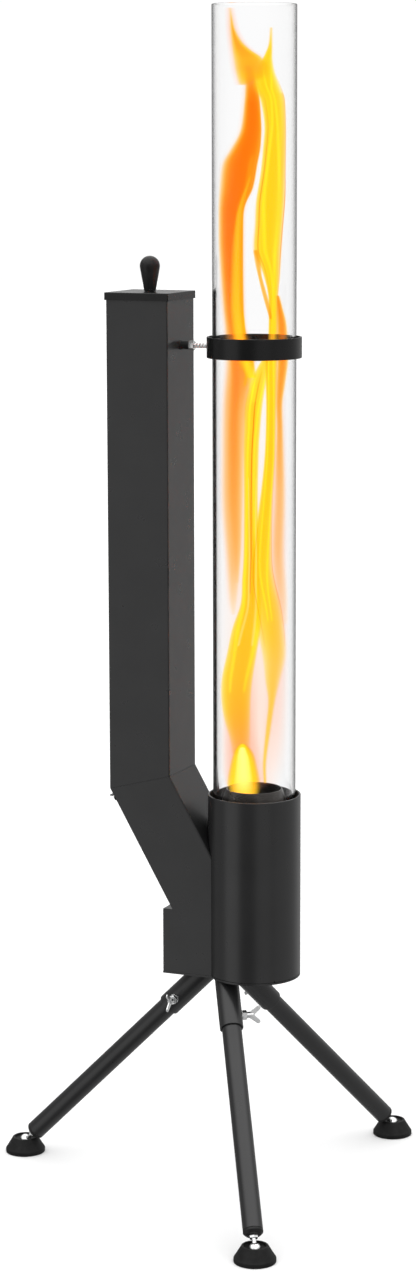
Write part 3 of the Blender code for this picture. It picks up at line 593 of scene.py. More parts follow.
# %% Base plate
plate_low, plate_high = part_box("base_plate")
wrap = math.pi - math.asin(HALF / HOUSING_RADIUS)
box_end = BOX_FACE_X - GLASS_X
plate_outline = [Vector((box_end, HALF)), Vector((box_end, -HALF))] + arc(HOUSING_RADIUS, -wrap, wrap, 100)
base_plate = extruded("base_plate_piece", plate_outline, plate_low.z, plate_high.z, AT_GLASS)
holes = []
for k in range(5):
    angle = math.radians(-60 + 30 * k)
    reach = HOUSING_BORE * 0.8
    hole_at = AT_GLASS @ Matrix.Translation((reach * math.cos(angle), reach * math.sin(angle), 0))
    holes.append(rod(f"air_hole_{k}", 0.005, 0.3, 0.4, 32, hole_at))
cut(base_plate, *holes)
finish_piece(base_plate, POWDER_COAT, "stand", ["base_plate"], rounding=0.0009)

# %% [markdown]
# ## The gate and the drawer
#
# The gate is a flat plate that slides through a slot and shuts off the pellets. Its lip sticks out at the bend.
# The drawer catches the ash. Both keep their measured shape, so a merged copy of each is enough, with its edges
# rounded like cut and deburred sheet.

# %% Gate, the strip under it and the ash drawer
for node, body, softness in (("pellet_gate", "gate", 0.0005), ("gate_guide", "stand", 0.0002),
                             ("ash_drawer", "drawer", 0.0004)):
    finish_piece(refined(node), POWDER_COAT, body, [node], rounding=softness,
                 segments=2)

# %% Drawer handle, a bent wire
handle_low, handle_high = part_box("drawer_handle")
wire = (handle_high.z - handle_low.z) / 2
span, reach = (handle_high.y - handle_low.y) / 2 - wire, handle_low.x + wire
handle_z = (handle_low.z + handle_high.z) / 2
handle_curve = bpy.data.curves.new("drawer_handle_piece", "CURVE")
handle_curve.dimensions = "3D"
handle_curve.bevel_depth = wire
handle_curve.bevel_resolution = 7
handle_curve.use_fill_caps = True
WIRE_BEND = 0.011
wire_corners = [(handle_high.x, span), (reach, span), (reach, -span), (handle_high.x, -span)]
bend_path = rounded(wire_corners, WIRE_BEND, 10, closed=False)
spline = handle_curve.splines.new("POLY")
spline.points.add(len(bend_path) - 1)
for point, place in zip(spline.points, bend_path):
    point.co = (place.x, place.y, handle_z, 1)
handle = bpy.data.objects.new("drawer_handle_piece", handle_curve)
bpy.context.scene.collection.objects.link(handle)
bpy.context.view_layer.update()
handle_mesh = bpy.data.meshes.new_from_object(handle.evaluated_get(bpy.context.evaluated_depsgraph_get()))
bpy.data.objects.remove(handle)
handle_shape = bmesh.new()
handle_shape.from_mesh(handle_mesh)
pull = as_object("drawer_handle_piece", handle_shape)
finish_piece(pull, ZINC_PLATE, "drawer", ["drawer_handle"])

# %% [markdown]
# ## Inside the burner
#
# Under the glass sits a cone that squeezes the flame, a fire tube, a slotted grate and a sloping slide that the
# pellets roll down. The cone can be seen through the glass, so it is turned again with a rolled mouth. The
# others are hidden and keep their measured mesh, with the stove steel on it.

# %% Burner cone
cone_low, cone_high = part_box("burner_cone")
cone_foot = cone_high.x - GLASS_X
cone_mouth, sheet = 0.0425, 0.002
outer_line = [(cone_mouth, cone_high.z), (cone_foot, cone_low.z)]
cone_profile = outer_line + [(radius - sheet, height) for radius, height in reversed(outer_line)]
cone = lathe("burner_cone_piece", rounded(cone_profile, 0.0008, 4), 128, AT_GLASS, closed=True)
finish_piece(cone, STOVE_STEEL, "stand", ["burner_cone"])

# %% Hidden pieces that keep their mesh
for node in ("pellet_slide", "fire_grate", "fire_tube", "glass_seat"):
    frame["nodes"][node].data.materials.clear()
    frame["nodes"][node].data.materials.append(STOVE_STEEL)
for node, material, slot in (("glass_gasket", GASKET_FIBRE, "ceramic_fibre"),
                             ("knob_screw", ZINC_PLATE, "zinc_plated_steel")):
    frame["nodes"][node].data.materials.clear()
    frame["nodes"][node].data.materials.append(material)
print("six hidden pieces keep their measured mesh")

# %% [markdown]
# ## The glass tube
#
# The tube is 1.2 m long with 5 mm walls. Its two ends are melted smooth after cutting, so the profile's corners
# are rounded by more than a millimetre. That makes the bright and dark rings seen at its top.

# %% Glass tube
glass_low, glass_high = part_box("glass_tube")
glass_radius = glass_high.x - GLASS_X
glass_bore = glass_radius - 0.005
glass_profile = tube_profile(glass_radius, glass_bore, glass_low.z, glass_high.z)
glass = lathe("glass_tube_piece", rounded(glass_profile, 0.0016, 6), 192, AT_GLASS, closed=True)
finish_piece(glass, CLEAR_GLASS, "glass", ["glass_tube"])

# %% [markdown]
# ## The lid and its knob
#
# The lid is a folded cap that drops over the hopper. It is a block with soft folds, hollowed from below. The
# knob is a turned bulb on a narrow neck, held by a screw from inside.

# %% Lid
lid_low, lid_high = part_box("hopper_lid")
lid = block("hopper_lid_piece", lid_low, lid_high)
lid_shape = bmesh.new()
lid_shape.from_mesh(lid.data)
lid_edges = [e for e in lid_shape.edges if any(v.co.z >= lid_high.z - 0.001 for v in e.verts)
             or abs(e.verts[0].co.z - e.verts[1].co.z) > 0.001]
bmesh.ops.bevel(lid_shape, geom=lid_edges, offset=0.0013, segments=4, affect="EDGES", profile=0.5)
lid_shape.to_mesh(lid.data)
lid_shape.free()
inner = HALF + 0.0005
lid_hollow = block("lid_hollow", (HOPPER_X - inner, -inner, 1),
                   (HOPPER_X + inner, inner, lid_high.z - 0.0015))
KNOB_SCREW_HOLE = 0.0023
screw_hole = rod("screw_hole", KNOB_SCREW_HOLE, 1, 2, 24, AT_HOPPER)
cut(lid, lid_hollow, screw_hole)
finish_piece(lid, DARK_COAT, "lid", ["hopper_lid"])

# %% Knob
knob_low, knob_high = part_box("lid_knob")
bulb = (knob_high.x - knob_low.x) / 2
knob_base = 0.0087
bulb_centre = knob_high.z - bulb
tangent = math.asin((bulb - knob_base) / (bulb_centre - knob_low.z))
knob_profile = [Vector((0, knob_high.z))] + arc(bulb, math.pi / 2, -tangent, 28, (0, bulb_centre))[1:]
knob_foot = [tuple(knob_profile[-1]), (knob_base, knob_low.z), (KNOB_SCREW_HOLE, knob_low.z)]
knob_profile += rounded(knob_foot, 0.001, 5, closed=False)[1:]
hole_end = knob_low.z + 0.02
knob_profile += [Vector((KNOB_SCREW_HOLE, hole_end)), Vector((0, hole_end))]
knob = lathe("lid_knob_piece", knob_profile, 96, AT_HOPPER)
finish_piece(knob, MOULDED_BLACK, "lid", ["lid_knob"])

# %% [markdown]
# ## Threads by Geometry Nodes
#
# A screw thread is a ridge that follows a helix round a core, so its shape is a rule and not a drawing. This
# tree sweeps a small diamond along a spiral and joins it with a core. Its sizes are named inputs, and the same
# tree makes every thread on the heater.

# %% A tree that makes a threaded rod
def new_tree(name, sizes):
    """A Geometry Nodes tree with named number inputs, a material input and one output."""
    tree = bpy.data.node_groups.new(name, "GeometryNodeTree")
    for label, kind, value in sizes:
        socket = tree.interface.new_socket(label, in_out="INPUT", socket_type=kind)
        socket.default_value = value
    tree.interface.new_socket("Finish", in_out="INPUT", socket_type="NodeSocketMaterial")
    tree.interface.new_socket("Geometry", in_out="OUTPUT", socket_type="NodeSocketGeometry")
    return tree, tree.nodes.new("NodeGroupInput"), tree.nodes.new("NodeGroupOutput")


def calculate(tree, operation, first, second):
    """The result of a math node on two sockets or numbers."""
    return add(tree, "ShaderNodeMath", {0: first, 1: second}, operation=operation).outputs[0]


def raised(tree, geometry, height):
    """Geometry lifted by a height that is itself a socket."""
    lift = add(tree, "ShaderNodeCombineXYZ", {"Z": height})
    moved = add(tree, "GeometryNodeTransform", {"Geometry": geometry, "Translation": lift.outputs["Vector"]})
    return moved.outputs["Geometry"]


THREAD_TREE, thread_in, thread_out = new_tree("threaded_rod", [
    ("Core radius", "NodeSocketFloat", 0.0033), ("Crest radius", "NodeSocketFloat", 0.00385),
    ("Pitch", "NodeSocketFloat", 0.00125), ("Length", "NodeSocketFloat", 0.02)])
sizes = thread_in.outputs
ridge = calculate(THREAD_TREE, "SUBTRACT", sizes["Crest radius"], sizes["Core radius"])
run = calculate(THREAD_TREE, "SUBTRACT", sizes["Length"], calculate(THREAD_TREE, "MULTIPLY", ridge, 2.0))
turns = calculate(THREAD_TREE, "DIVIDE", run, sizes["Pitch"])
spiral = add(THREAD_TREE, "GeometryNodeCurveSpiral", {
    "Resolution": 28, "Rotations": turns, "Height": run,
    "Start Radius": sizes["Core radius"], "End Radius": sizes["Core radius"]})
diamond = add(THREAD_TREE, "GeometryNodeCurvePrimitiveCircle", {"Resolution": 4, "Radius": ridge})
sweep = add(THREAD_TREE, "GeometryNodeCurveToMesh", {
    "Curve": spiral.outputs["Curve"], "Profile Curve": diamond.outputs["Curve"], "Fill Caps": True})
core = add(THREAD_TREE, "GeometryNodeMeshCylinder", {
    "Vertices": 48, "Radius": sizes["Core radius"], "Depth": sizes["Length"]})
together = add(THREAD_TREE, "GeometryNodeJoinGeometry")
half_length = calculate(THREAD_TREE, "MULTIPLY", sizes["Length"], 0.5)
for piece, height in ((sweep, ridge), (core, half_length)):
    THREAD_TREE.links.new(raised(THREAD_TREE, piece.outputs["Mesh"], height), together.inputs["Geometry"])


def end_tree(tree, group_in, group_out, made):
    """Ends a tree in real, finished geometry."""
    real = add(tree, "GeometryNodeRealizeInstances", {"Geometry": made})
    painted = add(tree, "GeometryNodeSetMaterial",
                  {"Geometry": real.outputs["Geometry"], "Material": group_in.outputs["Finish"]})
    tree.links.new(painted.outputs["Geometry"], group_out.inputs["Geometry"])


end_tree(THREAD_TREE, thread_in, thread_out, together.outputs["Geometry"])
print("thread tree has", len(THREAD_TREE.nodes), "nodes")


# %% Run a tree and keep its result as a mesh
def grown(name, tree, values, material, matrix=Matrix()):
    """Runs a Geometry Nodes tree with these inputs and returns a plain object with its place in its mesh."""
    holder = bpy.data.objects.new(name, bpy.data.meshes.new(name))
    bpy.context.scene.collection.objects.link(holder)
    modifier = holder.modifiers.new("tree", "NODES")
    modifier.node_group = tree
    keys = {item.name: item.identifier for item in tree.interface.items_tree if item.in_out == "INPUT"}
    for label, value in {**values, "Finish": material}.items():
        modifier[keys[label]] = value
    settle(holder)
    holder.data.transform(matrix)
    return holder


def threaded(name, length, matrix, core=0.0034, crest=0.0038):
    """A zinc plated 8 mm thread of a given length along Z."""
    values = {"Core radius": core, "Crest radius": crest, "Pitch": 0.00125, "Length": length}
    return grown(name, THREAD_TREE, values, ZINC_PLATE, matrix)


def join(name, *objects):
    """Puts several plain objects in one mesh."""
    shape = bmesh.new()
    for obj in objects:
        shape.from_mesh(obj.data)
        bpy.data.objects.remove(obj)
    mesh = bpy.data.meshes.new(name)
    shape.to_mesh(mesh)
    shape.free()
    made = bpy.data.objects.new(name, mesh)
    bpy.context.scene.collection.objects.link(made)
    return made


# %% [markdown]
# ## The support ring
#
# A flat steel ring holds the glass upright. A stud runs from it into a spacer on the hopper, locked by a nut.
# The nut is a six-sided bar whose corners are turned off at 30 degrees, which gives it the curved bright edges
# of a real one: the bar is intersected with a turned blank.

# %% Ring
ring_low, ring_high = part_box("support_ring")
ring_radius = ring_high.x - GLASS_X
ring_bore = ring_radius - 0.003
ring_profile = tube_profile(ring_radius, ring_bore, ring_low.z, ring_high.z)
ring = lathe("support_ring_piece", rounded(ring_profile, 0.0009, 5), 160, AT_GLASS, closed=True)
finish_piece(ring, DARK_COAT, "stand", ["support_ring"])

# %% A hex nut
RING_Z = middle_of("support_ring").z
STUD_HOLE = 0.00415


def hex_nut(name, start, thickness, matrix, across=0.013, bore=STUD_HOLE):
    """A nut with turned corners along Z, and a small countersink at each face."""
    half, corner = across / 2, across / 2 / math.cos(math.radians(30))
    end = start + thickness
    bar = rod(name, corner, start, end, 6, matrix)
    flat = half * 0.97
    drop = (corner - flat) * math.tan(math.radians(30))
    blank = [(0, start), (flat, start), (corner, start + drop), (corner, end - drop), (flat, end), (0, end)]
    cut(bar, lathe("blank", blank, 72, matrix), operation="INTERSECT")
    sink = 0.0006
    drill = [(0, start - 0.01), (bore + sink, start - 0.01), (bore + sink, start), (bore, start + sink),
             (bore, end - sink), (bore + sink, end), (bore + sink, end + 0.01), (0, end + 0.01)]
    return cut(bar, lathe("drill", drill, 40, matrix))


along_x = Matrix.Translation((0, 0, RING_Z)) @ Matrix.Rotation(math.radians(90), 4, "Y")
nut_low, nut_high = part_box("jam_nut")
jam_nut = hex_nut("jam_nut_piece", nut_low.x, nut_high.x - nut_low.x, along_x)
finish_piece(jam_nut, ZINC_PLATE, "ring_nut", ["jam_nut"], rounding=0.00015,
             segments=2)

# %% Spacer and stud
spacer_low, spacer_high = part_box("ring_standoff")
spacer_half = (spacer_high.z - spacer_low.z) / 2
stud_low, stud_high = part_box("ring_stud")
hole_floor = stud_low.x - GAP
spacer_outline = [(0, hole_floor), (STUD_HOLE, hole_floor), (STUD_HOLE, spacer_high.x),
                  (spacer_half, spacer_high.x), (spacer_half, spacer_low.x), (0, spacer_low.x)]
spacer_profile = rounded(spacer_outline, 0.0006, 4, closed=False, sharp=(1, 2))
spacer = lathe("ring_standoff_piece", spacer_profile, 64, along_x)
finish_piece(spacer, POWDER_COAT, "stand", ["ring_standoff"])
stud_start = along_x @ Matrix.Translation((0, 0, stud_low.x))
stud = threaded("ring_stud_piece", stud_high.x - stud_low.x, stud_start)
finish_piece(stud, ZINC_PLATE, "stand", ["ring_stud"])

# %% [markdown]
# ## The tripod
#
# Each leg is a tube that slides in a shorter, wider sleeve under the body and is clamped by a wing screw. The
# sleeves are coped against each other and cut off flat under the base plate. One leg is described in its own
# frame, with Z down the leg, and placed three times.

# %% Sizes along a leg
SLEEVE_BORE, SLEEVE_RADIUS, LEG_RADIUS = 0.0155, 0.018, 0.015
SLEEVE_START, SLEEVE_LENGTH, CLAMP_REACH = -0.03, 0.130, 0.108
LEG_START, LEG_END = 0.0560, BALL_REACH - 0.0295
PLUG_DEPTH, PLUG_HEAD, PLUG_SLOPE, PLUG_BORE = 0.018, 0.0072, 0.0036, 0.0043
leg_bore = LEG_RADIUS - 0.0015


def flat_cut(name, azimuth, low, high):
    """Half of all space, beside a vertical plane through the point where the legs meet."""
    turned_plane = Matrix.Translation(APEX) @ Matrix.Rotation(azimuth, 4, "Z")
    return block(name, (-0.5, low, -0.5), (0.5, high, 0.5), turned_plane)


def clamp_frame(side):
    """A frame on a leg's axis where its clamp sits, its Z out through the wing screw."""
    return leg_frame(side) @ Matrix.Translation((0, 0, CLAMP_REACH)) @ Matrix.Rotation(-math.pi / 2, 4, "X")


# %% Sleeves
for side in SIDES:
    place = leg_frame(side)
    azimuth = math.atan2(LEG_DOWN[side].y, LEG_DOWN[side].x)
    profile = rounded(tube_profile(SLEEVE_RADIUS, SLEEVE_BORE, SLEEVE_LENGTH, SLEEVE_START), 0.0007, 4,
                      sharp=(0, 3))
    sleeve = lathe(f"leg_sleeve_{side}_piece", profile, 96, place, closed=True)
    above = block("above", (-0.5, -0.5, BODY_BOTTOM - GAP), (0.5, 0.5, 1))
    screw_hole = rod("screw_hole", STUD_HOLE, 0.01, 0.03, 32, clamp_frame(side))
    cut(sleeve, above, flat_cut("one_side", azimuth + math.radians(60), -GAP / 2, 0.5),
        flat_cut("other_side", azimuth - math.radians(60), -0.5, GAP / 2), screw_hole)
    finish_piece(sleeve, POWDER_COAT, "stand", [f"leg_sleeve_{side}"])

# %% Leg tubes and the plugs in their ends
for side in SIDES:
    place = leg_frame(side)
    profile = rounded(tube_profile(LEG_RADIUS, leg_bore, LEG_END, LEG_START), 0.0006, 3)
    tube = lathe(f"leg_tube_{side}_piece", profile, 96, place, closed=True)
    finish_piece(tube, POWDER_COAT, f"leg_{side}", [f"leg_tube_{side}"])
    start, end, root = LEG_END + GAP, LEG_END + GAP + PLUG_HEAD, LEG_END - PLUG_DEPTH
    plug_outline = [(LEG_RADIUS - PLUG_SLOPE, end), (LEG_RADIUS, end - PLUG_SLOPE), (LEG_RADIUS, start),
                    (leg_bore - GAP, start), (leg_bore - GAP, root), (PLUG_BORE, root), (PLUG_BORE, end)]
    plug = lathe(f"leg_plug_{side}_piece", rounded(plug_outline, 0.0008, 4), 80, place, closed=True)
    finish_piece(plug, MOULDED_BLACK, f"leg_{side}", [f"leg_plug_{side}"])

# %% [markdown]
# ### Wing screws
#
# A wing screw is a threaded shank with a boss and two cast wings that open in a V, so that fingers can turn it.
# The wings are a flat outline drawn out to 2.6 mm and rounded until hardly any flat is left, as casting leaves
# them. The shank is the thread tree again.

# %% Outline of the wings
WING_SPREAD, WING_LENGTH, WING_HALF = math.radians(46), 0.018, 0.00325
STEM_END = SLEEVE_RADIUS + 0.0147
arm = Vector((math.sin(WING_SPREAD), math.cos(WING_SPREAD)))
across = Vector((arm.y, -arm.x))
root, tip = Vector((0, STEM_END)), Vector((0, STEM_END)) + arm * (WING_LENGTH - WING_HALF)
swing = math.atan2(across.y, across.x)
half_outline = [Vector((0.0036, STEM_END - 0.0052))] + arc(WING_HALF, swing, swing + math.pi, 10, tip)
half_outline += [Vector((0, root.y + WING_HALF / math.sin(WING_SPREAD) - 0.0006))]
wing_outline = half_outline + [Vector((-p.x, p.y)) for p in reversed(half_outline[:-1])]
print("the wings' outline has", len(wing_outline), "points")

# %% Wing screws and the nuts that they run in
for side in SIDES:
    cross = clamp_frame(side)
    nut = hex_nut(f"clamp_nut_{side}_piece", SLEEVE_RADIUS + GAP, 0.0068, cross)
    replaced = [f"clamp_nut_{side}"]
    finish_piece(nut, ZINC_PLATE, "stand", replaced, rounding=0.00015, segments=2)
    turned = cross @ Matrix.Rotation(math.radians(135), 4, "Z")
    wings = extruded("wings", wing_outline, -0.0013, 0.0013,
                     turned @ Matrix.Rotation(math.radians(90), 4, "X"))
    softened = wings.modifiers.new("soft", "BEVEL")
    softened.width, softened.segments, softened.limit_method = 0.001, 4, "ANGLE"
    softened.angle_limit = math.radians(50)
    settle(wings)
    boss_top, boss_foot = STEM_END + 0.0012, STEM_END - 0.0068
    boss_outline = [(0, boss_top), (0.0042, boss_top), (0.0047, boss_foot), (0, boss_foot)]
    boss = lathe("boss", rounded(boss_outline, 0.0012, 5, closed=False), 48, turned)
    shank_start = LEG_RADIUS + GAP
    shank_length = STEM_END - 0.004 - shank_start
    shank = threaded("shank", shank_length, turned @ Matrix.Translation((0, 0, shank_start)))
    screw = join(f"wing_screw_{side}_piece", wings, boss, shank)
    finish_piece(screw, ZINC_PLATE, f"clamp_{side}", [f"wing_screw_{side}"])

# %% [markdown]
# ### Swivel feet
#
# Each foot is a rubber pad with a socket, and a steel ball on a stud that screws into the leg. The ball and the
# pad are both turned. A hexagon on the stud takes a spanner.

# %% Ball studs
BALL_RADIUS, NECK = 0.0095, 0.0033
HEX_FLAT, HEX_TURNED, HEX_LENGTH, HEX_EDGE = 0.0057, 0.0056, 0.005, 0.0006
for side in SIDES:
    place = leg_frame(side)
    hex_start = LEG_END + 2 * GAP + PLUG_HEAD
    hex_end = hex_start + HEX_LENGTH
    neck_angle = math.asin(NECK / BALL_RADIUS)
    round_part = arc(BALL_RADIUS, math.pi / 2, -math.pi / 2 + neck_angle, 32, (0, BALL_REACH))
    ball = [Vector((0, BALL_REACH + BALL_RADIUS))] + round_part[1:]
    neck = [Vector((NECK, hex_end)), Vector((NECK, hex_start)), Vector((0, hex_start))]
    ball_piece = lathe("ball", ball + neck, 64, place)
    corner = HEX_FLAT / math.cos(math.radians(30))
    hexagon = rod("hexagon", corner, hex_start, hex_end, 6, place)
    edge = [(0, hex_start), (HEX_TURNED, hex_start), (corner, hex_start + HEX_EDGE),
            (corner, hex_end - HEX_EDGE), (HEX_TURNED, hex_end), (0, hex_end)]
    cut(hexagon, lathe("edge", edge, 72, place), operation="INTERSECT")
    thread_start = place @ Matrix.Translation((0, 0, LEG_END - PLUG_DEPTH))
    thread = threaded("thread", 0.0255, thread_start, core=0.0035, crest=0.0039)
    ball_stud = join(f"ball_stud_{side}_piece", ball_piece, hexagon, thread)
    finish_piece(ball_stud, ZINC_PLATE, f"stud_{side}", [f"ball_stud_{side}"])

# %% Foot pads
for side in SIDES:
    pad_low, pad_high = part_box(f"foot_pad_{side}")
    centre = BALLS[side]
    place = Matrix.Translation((centre.x, centre.y, 0))
    top, rim = pad_high.z, (pad_high.x - pad_low.x) / 2
    floor_z = top - 0.0035
    socket = BALL_RADIUS + GAP
    mouth = math.asin((floor_z - centre.z) / socket)
    bowl = [Vector((0, centre.z - socket))] + arc(socket, -math.pi / 2, mouth, 24, (0, centre.z))[1:]
    pad_outline = [tuple(bowl[-1]), (0.0165, floor_z), (0.0165, top), (0.0195, top), (0.0292, 0.0085),
                   (rim, 0.0058), (rim, 0), (0, 0)]
    outside = rounded(pad_outline, 0.0011, 5, closed=False)
    pad = lathe(f"foot_pad_{side}_piece", bowl + outside[1:], 96, place)
    finish_piece(pad, FOOT_RUBBER, f"foot_{side}", [f"foot_pad_{side}"])

# %% [markdown]
# ## Weld beads by Geometry Nodes
#
# The sleeves are welded under the base plate, and the spacer and the clamp nuts are welded on. A bead is a row
# of small overlapping puddles along a ring, which is what the tree makes: it places a little ball at each step
# of a circle, stretched if the joint is slanted, and each a touch different in size.

# %% A tree that makes a ring of weld
WELD_TREE, weld_in, weld_out = new_tree("weld_ring", [
    ("Ring radius", "NodeSocketFloat", 0.0062), ("Stretch", "NodeSocketVector", (1, 1, 1)),
    ("Bead radius", "NodeSocketFloat", 0.0008), ("Beads", "NodeSocketInt", 40), ("Seed", "NodeSocketInt", 7)])
asked = weld_in.outputs
circle = add(WELD_TREE, "GeometryNodeCurvePrimitiveCircle", {"Resolution": 96, "Radius": asked["Ring radius"]})
stretch = add(WELD_TREE, "GeometryNodeTransform",
              {"Geometry": circle.outputs["Curve"], "Scale": asked["Stretch"]})
steps = add(WELD_TREE, "GeometryNodeResampleCurve",
            {"Curve": stretch.outputs["Geometry"], "Count": asked["Beads"]})
puddle = add(WELD_TREE, "GeometryNodeMeshIcoSphere", {"Subdivisions": 2, "Radius": asked["Bead radius"]})
size = add(WELD_TREE, "FunctionNodeRandomValue", {2: 0.88, 3: 1.08, "Seed": asked["Seed"]}, data_type="FLOAT")
placed = add(WELD_TREE, "GeometryNodeInstanceOnPoints", {
    "Points": steps.outputs["Curve"], "Instance": puddle.outputs["Mesh"], "Scale": size.outputs[1]})
end_tree(WELD_TREE, weld_in, weld_out, placed.outputs["Instances"])
print("weld tree has", len(WELD_TREE.nodes), "nodes")

# %% Welds on the stand
slant = 1 / math.cos(LEG_TILT)
for side in SIDES:
    azimuth = math.atan2(LEG_DOWN[side].y, LEG_DOWN[side].x)
    reach = (APEX.z - BODY_BOTTOM) * math.tan(LEG_TILT)
    under_plate = Matrix.Translation((APEX.x, 0, BODY_BOTTOM - 0.0017))
    joint = under_plate @ Matrix.Rotation(azimuth, 4, "Z") @ Matrix.Translation((reach, 0, 0))
    values = {"Ring radius": SLEEVE_RADIUS, "Stretch": (slant, 1.0, 1.0), "Bead radius": 0.0015,
              "Beads": 84, "Seed": 3}
    weld = grown(f"sleeve_weld_{side}", WELD_TREE, values, POWDER_COAT, joint)
    finish_piece(weld, POWDER_COAT, "stand")
    cross = clamp_frame(side)
    values = {"Ring radius": 0.0066, "Bead radius": 0.0007, "Beads": 42, "Seed": 5}
    on_sleeve = cross @ Matrix.Translation((0, 0, SLEEVE_RADIUS - 0.0004))
    weld = grown(f"nut_weld_{side}", WELD_TREE, values, ZINC_PLATE, on_sleeve)
    finish_piece(weld, ZINC_PLATE, "stand")
values = {"Ring radius": spacer_half, "Bead radius": 0.0008, "Beads": 40, "Seed": 9}
on_hopper = along_x @ Matrix.Translation((0, 0, spacer_low.x + 0.0005))
weld = grown("spacer_weld", WELD_TREE, values, POWDER_COAT, on_hopper)
finish_piece(weld, POWDER_COAT, "stand")

# %% [markdown]
# ## The flame
#
# The flame isn't part of the heater. It is a few tongues, each a stack of
# slices between the heights and edges listed below, in millimetres from the glass axis. A tongue has no
# surface: it is a volume that swallows blue and some green and glows. Its slices thin out towards their edges,
# so it fades there as fire does. Wide, weak tongues round the main ones make their soft rims, and thin strands
# in front of them make the bright and dark streaks.

# %% Fire as a volume
def fire(name, keeps, thickness, glow, strength):
    """A volume that keeps one colour of the light passing through and glows with another."""
    material, nodes, shader, output = new_finish(name)
    nodes.remove(shader)
    tree = material.node_tree
    absorbing = add(tree, "ShaderNodeVolumeAbsorption", {"Color": (*keeps, 1), "Density": thickness})
    glowing = add(tree, "ShaderNodeEmission", {"Color": (*glow, 1), "Strength": strength})
    both = add(tree, "ShaderNodeAddShader", {0: absorbing.outputs["Volume"], 1: glowing.outputs["Emission"]})
    tree.links.new(both.outputs["Shader"], output.inputs["Volume"])
    return material


YELLOW_FIRE = fire("yellow_fire", (1.0, 0.86, 0.08), 400, (1.0, 0.70, 0.05), 48)
ORANGE_FIRE = fire("orange_fire", (1.0, 0.69, 0.01), 520, (1.0, 0.48, 0.0), 45)
AMBER_FIRE = fire("amber_fire", (1.0, 0.78, 0.45), 260, (1.0, 0.64, 0.12), 26)
BRIGHT_FIRE = fire("bright_fire", (1.0, 0.965, 0.28), 400, (1.0, 0.70, 0.09), 75)
PALE_FIRE = fire("pale_fire", (1.0, 0.96, 0.70), 200, (1.0, 0.88, 0.55), 70)
STREAK_FIRE = fire("streak_fire", (1.0, 0.55, 0.02), 900, (1.0, 0.30, 0.0), 20)
HALO_FIRE = fire("pink_halo", (1.0, 0.90, 0.84), 60, (1.0, 0.5, 0.4), 1.5)
ROSE_FIRE = fire("rose_edge", (1.0, 0.70, 0.58), 130, (1.0, 0.50, 0.36), 8)

# %% Tongues of flame
LOOKING = math.radians(22.044)
FLAME_ROOM, SLICE_POINTS = 56.5, 32
RIGHTWARD = Vector((math.cos(LOOKING), math.sin(LOOKING), 0))
BACKWARD = Vector((-math.sin(LOOKING), math.cos(LOOKING), 0))


def dense_rows(rows, steps=6):
    """Smooth rows between the given ones, by Catmull-Rom."""
    made = []
    for i in range(len(rows) - 1):
        around = [rows[min(max(k, 0), len(rows) - 1)] for k in (i - 1, i, i + 1, i + 2)]
        for k in range(steps):
            t = k / steps
            row = []
            for p, q, r, w in zip(*around):
                square, cube = 2 * p - 5 * q + 4 * r - w, 3 * q - p - 3 * r + w
                row.append(0.5 * (2 * q + (r - p) * t + square * t * t + cube * t ** 3))
            made.append(row)
    return made + [list(rows[-1])]


def between(points, at):
    """The second value of (first, second) points at a first value, the first values falling."""
    for (high, value_high), (low, value_low) in zip(points, points[1:]):
        if at >= low:
            share = min(max((at - low) / (high - low), 0), 1)
            return value_low + (value_high - value_low) * share
    return points[-1][1]


def tongue(name, rows, material, depth=0.0, thick=((1800, 9), (600, 9)), widen=1.0, grow=0.0,
           soft=(2.0, 2.0)):
    """A closed tongue through rows of (height, left edge, right edge), in mm, with its thickness by height.

    A higher value in soft thins that side out, left or right, so that its edge fades.
    """
    shape = bmesh.new()
    rings = []
    for height, left, right in dense_rows(rows):
        middle, half = (left + right) / 2, max((right - left) / 2 * widen + grow, 0.15)
        limit = math.sqrt(max(FLAME_ROOM ** 2 - depth ** 2, 1))
        first_edge, last_edge = max(middle - half, -limit), min(middle + half, limit)
        middle, half = (first_edge + last_edge) / 2, max((last_edge - first_edge) / 2, 0.15)
        deep = min(between(thick, height) / 2, half * 1.1)
        centre = Vector((GLASS_X, 0, height / 1000))
        centre = centre + RIGHTWARD * (middle / 1000) + BACKWARD * (depth / 1000)
        ring = []
        for k in range(SLICE_POINTS):
            a = 2 * math.pi * (k + 0.5) / SLICE_POINTS
            bulge = math.sin(a) * abs(math.sin(a)) ** soft[math.cos(a) > 0]
            aside, back = RIGHTWARD * (half / 1000 * math.cos(a)), BACKWARD * (deep / 1000 * bulge)
            ring.append(shape.verts.new(centre + aside + back))
        rings.append(ring)
    for first, second in zip(rings, rings[1:]):
        for k in range(SLICE_POINTS):
            n = (k + 1) % SLICE_POINTS
            shape.faces.new((first[k], first[n], second[n], second[k]))
    shape.faces.new(rings[0])
    shape.faces.new(list(reversed(rings[-1])))
    obj = as_object(name, shape)
    obj.data.shade_smooth()
    obj.data.materials.append(material)
    obj.visible_diffuse = obj.visible_glossy = False
    return obj


def strands(name, rows, shares, material, depth, width=0.05, thick=2.2, sway=0.05):
    """Thin streaks that follow a tongue at shares of its width, each swaying a little."""
    smooth = dense_rows(rows, 2)
    for number, share in enumerate(shares):
        streak = []
        for k, (height, left, right) in enumerate(smooth[1:-1]):
            swayed = min(max(share + sway * math.sin(0.35 * k + 2.1 * number), 0.03), 0.97)
            place = left + (right - left) * swayed
            half = max((right - left) * width / 2, 0.25) * math.sin(math.pi * (k + 1) / len(smooth)) ** 0.5
            streak.append((height, place - half, place + half))
        even = ((1800, thick), (600, thick))
        tongue(f"{name}_{number}", streak, material, depth=depth + number - 1, thick=even)


